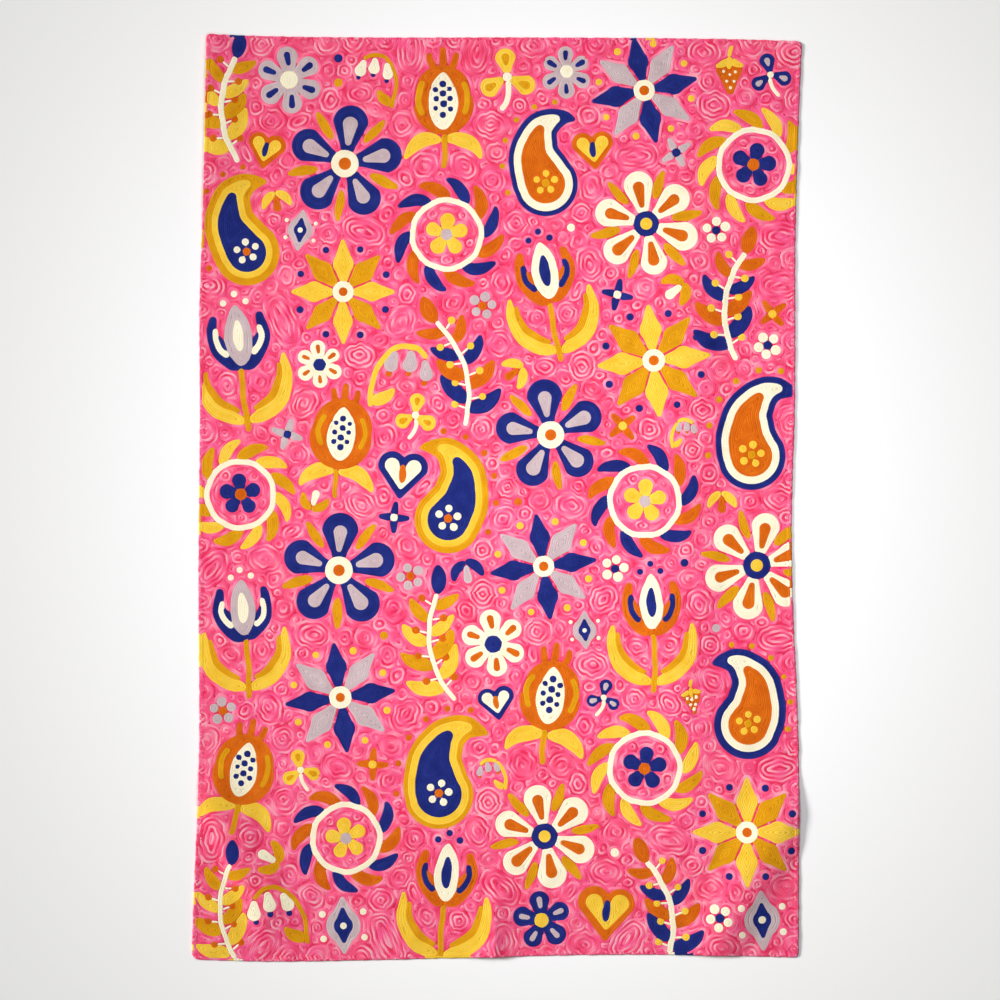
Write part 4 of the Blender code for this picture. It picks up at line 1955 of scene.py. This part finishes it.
@dataclass(frozen=True)
class WoolFinish:
    """Wool yarn in chain stitch, seen as one colour that varies along the yarn, with shade painted between
    the legs of its stitches and along its rows' edges.
    """

    colour: Colour
    dark: Colour
    light: Colour
    slot: str
    drift: float = 0.5  # how far the dye drifts along the yarn
    reach: float = 0.5  # how far the tints of its rows reach
    other: Colour | None = None  # the colour that the dye strays to from place to place
    dye_scale: float = 38.0
    other_scale: float = 6.0
    fibre_scale: float = 1500.0
    leg: float = 0.50  # the width of each of a stitch's two legs, as a share of half the row's
    twists: float = 3.0  # of the yarn, along a stitch
    twist_slant: float = 0.9
    # How dark the painted shade between the legs of the stitches is, as a share of the dark colour.
    crevice_shade: float = 0.62
    bump_depth: float = 0.0008

    def material(self, name: str) -> Material:
        """Builds the finish.

        Args:
            name: The material's name.

        Returns:
            The material.
        """
        graph = Graph(name)
        place = graph.node("UVMap", {}, uv_map="Stitch")
        across = graph.node("SeparateXYZ", {0: place}) * 2.0 - 1.0
        along = graph.node("SeparateXYZ", {0: place}, 1)
        tint = graph.node("Attribute", {}, "Fac", attribute_name="tint")
        spot = graph.node("TexCoord", {}, "Object")
        dye = graph.noise(spot, self.dye_scale, 2.0)
        fibre = graph.noise(spot, self.fibre_scale, 3.0)
        part = along.fraction()
        spread = self.leg * (part * math.pi).sine() ** 0.7
        leg = (1.0 - ((abs(across) - spread) / self.leg) ** 2.0).clamped()
        twist = ((along * self.twists + abs(across) * self.twist_slant) * (2 * math.pi)).sine() * 0.5 + 0.5
        shade = (dye - 0.5) * (3.0 * self.drift) + (tint - 0.5) * self.reach
        colour = linear(self.colour)
        if self.other:
            lot = graph.noise(spot, self.other_scale, 6.0, 0.75)
            colour = graph.mix(((lot - 0.5) * 3.0 + 0.5).clamped(), colour, linear(self.other))
        paler = graph.mix(shade.clamped(), colour, linear(self.light))
        base = graph.mix((shade * -1.0).clamped(), paler, linear(self.dark))
        # Painted shade: darker between the two legs of each stitch, along each row's edges and in the low
        # places of the fibres, where the relief lies in shade.
        painted_shade = ((1.0 - leg) * 0.20 + (1.0 - fibre) * 0.10).clamped()
        graph.set("Base Color", graph.mix(painted_shade, base, linear(self.dark, self.crevice_shade)))
        graph.set("Roughness", 0.86 + fibre * 0.13)
        graph.set("Sheen Weight", 0.06)
        graph.set("Sheen Roughness", 0.6)
        graph.set("Sheen Tint", linear(self.light))
        graph.set("Specular IOR Level", 0.12)
        height = leg * 0.62 + leg * twist * 0.22 + fibre * 0.30
        graph.bump(0.55, self.bump_depth, height)
        return graph.material


PINK = WoolFinish((255, 101, 134), (234, 48, 92), (255, 178, 194), "wool_pink", 0.25, 2.0, (255, 99, 155))

WOOLS: dict[Yarn, WoolFinish] = {pink: PINK for pink, _upto in PINKS} | {
    Yarn.CREAM: WoolFinish((255, 246, 214), (248, 232, 194), (255, 252, 230), "wool_cream", 0.5),
    Yarn.CORN: WoolFinish((250, 204, 64), (238, 182, 36), (255, 216, 88), "wool_mustard", 0.6),
    Yarn.OCHRE: WoolFinish((224, 156, 16), (206, 134, 8), (238, 174, 30), "wool_mustard", 0.6),
    Yarn.NAVY: WoolFinish((30, 42, 120), (18, 28, 98), (42, 56, 140), "wool_navy", 0.6),
    Yarn.RUST: WoolFinish((218, 104, 14), (196, 84, 6), (234, 124, 28), "wool_rust", 0.6),
    Yarn.LILAC: WoolFinish((204, 182, 184), (184, 162, 166), (218, 200, 202), "wool_lilac", 0.5),
}


@dataclass(frozen=True)
class GroundClothFinish:
    """The cotton ground cloth: natural below, with shade painted between the threads of its weave, and above
    stained by the wool that fills its weave.
    """

    cotton: Colour = (226, 214, 190)
    wool: Colour = (244, 78, 116)
    thread: float = 0.0011  # from one thread of the weave to the next
    slub_scale: float = 240.0
    bump_depth: float = 0.0004

    def material(self) -> Material:
        """Builds the finish.

        Returns:
            The material.
        """
        graph = Graph("cotton ground cloth")
        spot = graph.node("TexCoord", {}, "Object")
        x, y = (graph.node("SeparateXYZ", {0: spot}, axis) for axis in (0, 1))
        turns = math.pi / self.thread
        weave = (x * turns).sine() * (y * turns).sine() * 0.5 + 0.5
        slub = graph.noise(spot, self.slub_scale, 3.0)
        stitched = graph.node("Attribute", {}, "Fac", attribute_name="stitched")
        # Painted shade: the cotton is darker between the threads of the weave, and its slubs vary its tone at
        # random.
        light = (weave * 0.5 + slub * 0.5).clamped()
        cotton = graph.mix(light, linear(self.cotton, 0.72), linear(self.cotton))
        wool = graph.mix(slub, linear(self.wool, 0.8), linear(self.wool))
        graph.set("Base Color", graph.mix(stitched, cotton, wool))
        graph.set("Roughness", 0.86 + slub * 0.12)
        graph.set("Specular IOR Level", 0.2)
        graph.bump(0.4, self.bump_depth, weave * 0.7 + slub * 0.3)
        return graph.material


@dataclass
class GroundCloth:
    """The rug's one sheet: cotton cloth with its stitched face up and its rounded, turned edge."""

    cloth: Cloth
    across: float = 0.0120  # from one line of the grid to the next, across the rug
    along: float = 0.0200  # the same along it
    top: float = 0.0022  # height of the stitched face between its rows
    # The turned edge: how far out it stands at these heights above the underside.
    rim: tuple[Place, ...] = ((0.0003, 0.0005), (0.0005, 0.0011), (0.0003, 0.0018))

    def grid(self) -> Array:
        """Fills the outline with a grid that runs along its four sides.

        Returns:
            The grid's points, in rows from the bottom up.
        """
        bottom, right, top, left = self.cloth.form.quarters()
        size = bottom[-1] - bottom[0], right[-1] - right[0]
        wide = round(abs(size[0][0]) / self.across)
        long = round(abs(size[1][1]) / self.along)
        bottom, top = resampled(bottom, wide + 1, False), resampled(top[::-1], wide + 1, False)
        right, left = resampled(right, long + 1, False), resampled(left[::-1], long + 1, False)
        s = np.linspace(0, 1, wide + 1)[None, :, None]
        t = np.linspace(0, 1, long + 1)[:, None, None]
        ruled = (1 - t) * bottom[None] + t * top[None] + (1 - s) * left[:, None] + s * right[:, None]
        return ruled - (
            (1 - s) * (1 - t) * bottom[0] + s * (1 - t) * bottom[-1] + (1 - s) * t * top[0] + s * t * top[-1]
        )

    def build(self) -> Object:
        """Builds the sheet.

        Returns:
            The piece that stands for the rug's solid.
        """
        grid = self.grid()
        long, wide = grid.shape[:2]
        flat = grid.reshape(-1, 2)
        count = len(flat)
        lift = self.cloth.form.lift(flat[:, 0], flat[:, 1])
        under = np.column_stack([flat, lift])
        upper = self.cloth.raised(flat, np.full(count, self.top))
        index = np.arange(count).reshape(long, wide)
        corners_of = (index[:-1, :-1], index[:-1, 1:], index[1:, 1:], index[1:, :-1])
        faces = np.stack(corners_of, axis=-1).reshape(-1, 4)
        ring_index = np.concatenate([index[0, :-1], index[:-1, -1], index[-1, :0:-1], index[:0:-1, 0]])
        around = flat[ring_index]
        run = np.roll(around, -1, axis=0) - np.roll(around, 1, axis=0)
        out = np.column_stack([run[:, 1], -run[:, 0]]) / np.linalg.norm(run, axis=1, keepdims=True)
        base = lift[ring_index]
        loops = [ring_index]
        layers = [under, upper]
        for number, (reach, height) in enumerate(self.rim):
            layers.append(np.column_stack([around + out * reach, base + height]))
            loops.append(2 * count + number * len(around) + np.arange(len(around)))
        loops.append(ring_index + count)
        quads = [faces[:, ::-1], faces + count]
        for lower, higher in zip(loops, loops[1:]):
            quads.append(np.column_stack([lower, np.roll(lower, -1), np.roll(higher, -1), higher]))
        points, quads = np.concatenate(layers), np.concatenate(quads)
        mesh = new_mesh("cloth", points, quads)
        stitched = np.ones(len(points))
        stitched[:count] = 0.0
        add_value(mesh, "stitched", stitched)
        add_flat_uv(mesh, points, quads)
        return show(mesh, GroundClothFinish().material())


@dataclass
class StitchRows:
    """The rows of one yarn, as one piece."""

    cloth: Cloth
    yarn: Yarn
    rows: list[Row]
    padding_place: float = 0.25  # the place in a stitch that the wool under the rows looks like

    def build(self) -> Object:
        """Builds the strips of all rows.

        Returns:
            The piece.
        """
        points, quads, stitch, tint = [], [], [], []
        base = 0
        for row in self.rows:
            lines = row.lines()
            bands, count = len(lines) - 1, len(row.points)
            points.append(lines.reshape(-1, 3))
            here = np.arange(count if row.closed else count - 1)
            after = (here + 1) % count
            for band in range(bands):
                first, second = base + band * count, base + (band + 1) * count
                quads.append(np.column_stack([first + here, first + after, second + after, second + here]))
                u0, u1 = np.full(len(here), band / bands), np.full(len(here), (band + 1) / bands)
                v0, v1 = here / 2, (here + 1) / 2
                stitch.append(np.stack([u0, v0, u0, v1, u1, v1, u1, v0], axis=1).reshape(-1, 2))
            tint.append(np.tile(row.tint, len(lines)))
            base += len(lines) * count
        left, right, bottom, top = self.cloth.map.strips(self.yarn).T
        if len(left):
            x = np.column_stack([left, right, right, left]).reshape(-1)
            y = np.column_stack([bottom, bottom, top, top]).reshape(-1)
            points.append(np.column_stack([x, y, np.full(len(x), PADDING_HEIGHT)]))
            quads.append(base + np.arange(len(x)).reshape(-1, 4))
            stitch.append(np.full((len(x), 2), self.padding_place))
            tint.append(np.zeros(len(x)))
        flat = np.concatenate(points)
        faces = np.concatenate(quads)
        placed = self.cloth.raised(flat[:, :2], flat[:, 2])
        mesh = new_mesh(self.yarn.value, placed, faces)
        add_uv(mesh, "Stitch", np.concatenate(stitch))
        add_flat_uv(mesh, placed, faces)
        add_value(mesh, "tint", np.concatenate(tint))
        finish = WOOLS[self.yarn]
        return show(mesh, finish.material(self.yarn.value.replace("_", " ")))


@dataclass(frozen=True)
class Studio:
    """The floor, the soft light and the camera, which looks straight down as in the photograph."""

    view_width: float = 2.013  # what the picture's width shows at the floor
    centre: Place = (0.005, -0.005)  # the picture's middle, before the outline is centred
    lens: float = 85.0
    sensor: float = 36.0
    key_strength: float = 4.1
    key_height: float = 22.0  # above the floor, in degrees
    key_heading: float = 166.0
    key_angle: float = 14.0  # how wide its disc is, which softens its shadows
    sky: float = 0.15  # strength of the room's own light
    lamp_power: float = 12.2  # of the large lamp overhead, in watts
    lamp_place: tuple[float, float, float] = (0.07, 0.06, 1.20)
    lamp_size: Place = (0.7, 1.4)
    lamp_colour: tuple[float, float, float] = (1.0, 0.98, 1.05)
    room_colour: tuple[float, float, float] = (1.0, 1.0, 0.96)  # of the light that isn't the lamp's
    floor_size: float = 30.0
    farthest: float = 60.0  # that the camera sees

    @staticmethod
    def put(data: ID, **settings: object) -> Object:
        """Puts a lamp or a camera in the scene.

        Args:
            data: The lamp or the camera.
            settings: What is set on it.

        Returns:
            Its object.
        """
        thing = bpy.data.objects.new(data.name, data)
        bpy.context.scene.collection.objects.link(thing)
        for name, value in settings.items():
            setattr(data, name, value)
        return thing

    def build(self, form: RugForm) -> None:
        """Sets up the floor, the camera and the light round the rug.

        Args:
            form: The rug's form.
        """
        x, y = np.asarray(self.centre) - form.middle()
        bpy.ops.object.select_all(action="DESELECT")
        bpy.ops.mesh.primitive_plane_add(size=self.floor_size, location=(0.0, 0.0, 0.0))
        floor = bpy.context.object
        floor.name = "floor"
        graph = Graph("pale floor")
        graph.set("Base Color", linear((250, 250, 250)))
        graph.set("Roughness", 0.9)
        floor.data.materials.append(graph.material)
        camera = self.put(
            bpy.data.cameras.new("camera"), lens=self.lens, sensor_width=self.sensor, clip_end=self.farthest
        )
        camera.location = (x, y, self.view_width * self.lens / self.sensor)
        bpy.context.scene.camera = camera
        key = self.put(
            bpy.data.lights.new("key light", "SUN"),
            energy=self.key_strength, color=self.room_colour, angle=math.radians(self.key_angle),
        )
        key.rotation_euler = (0.0, math.radians(90 - self.key_height), math.radians(self.key_heading))
        width, length = self.lamp_size
        lamp = self.put(
            bpy.data.lights.new("overhead lamp", "AREA"), shape="RECTANGLE", size=width, size_y=length,
            energy=self.lamp_power, color=self.lamp_colour,
        )
        lamp.location = self.lamp_place
        world = bpy.data.worlds.new("soft room")
        world.use_nodes = True
        light = world.node_tree.nodes["Background"].inputs
        light["Color"].default_value = (*self.room_colour, 1.0)
        light["Strength"].default_value = self.sky
        bpy.context.scene.world = world
        bpy.context.scene.view_settings.view_transform = "Standard"


def corners(box: tuple) -> list[list[float]]:
    """A box's two corners as plain lists."""
    return [list(corner) for corner in box]


def main() -> None:
    """Builds the rug's sheet, its rows of stitches, and the studio round it."""
    logging.basicConfig(level=logging.INFO, format="%(name)s: %(message)s")
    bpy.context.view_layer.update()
    form = RugForm()
    Studio().build(form)
    embroidery = Embroidery(form)
    embroidery.work()
    cloth = Cloth(form, embroidery.map)
    sheet = GroundCloth(cloth).build()
    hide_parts("rug")
    for yarn in Yarn:
        rows = [row for row in embroidery.rows if row.yarn is yarn]
        if rows:
            StitchRows(cloth, yarn, rows).build()


if __name__ == "__main__":
    main()
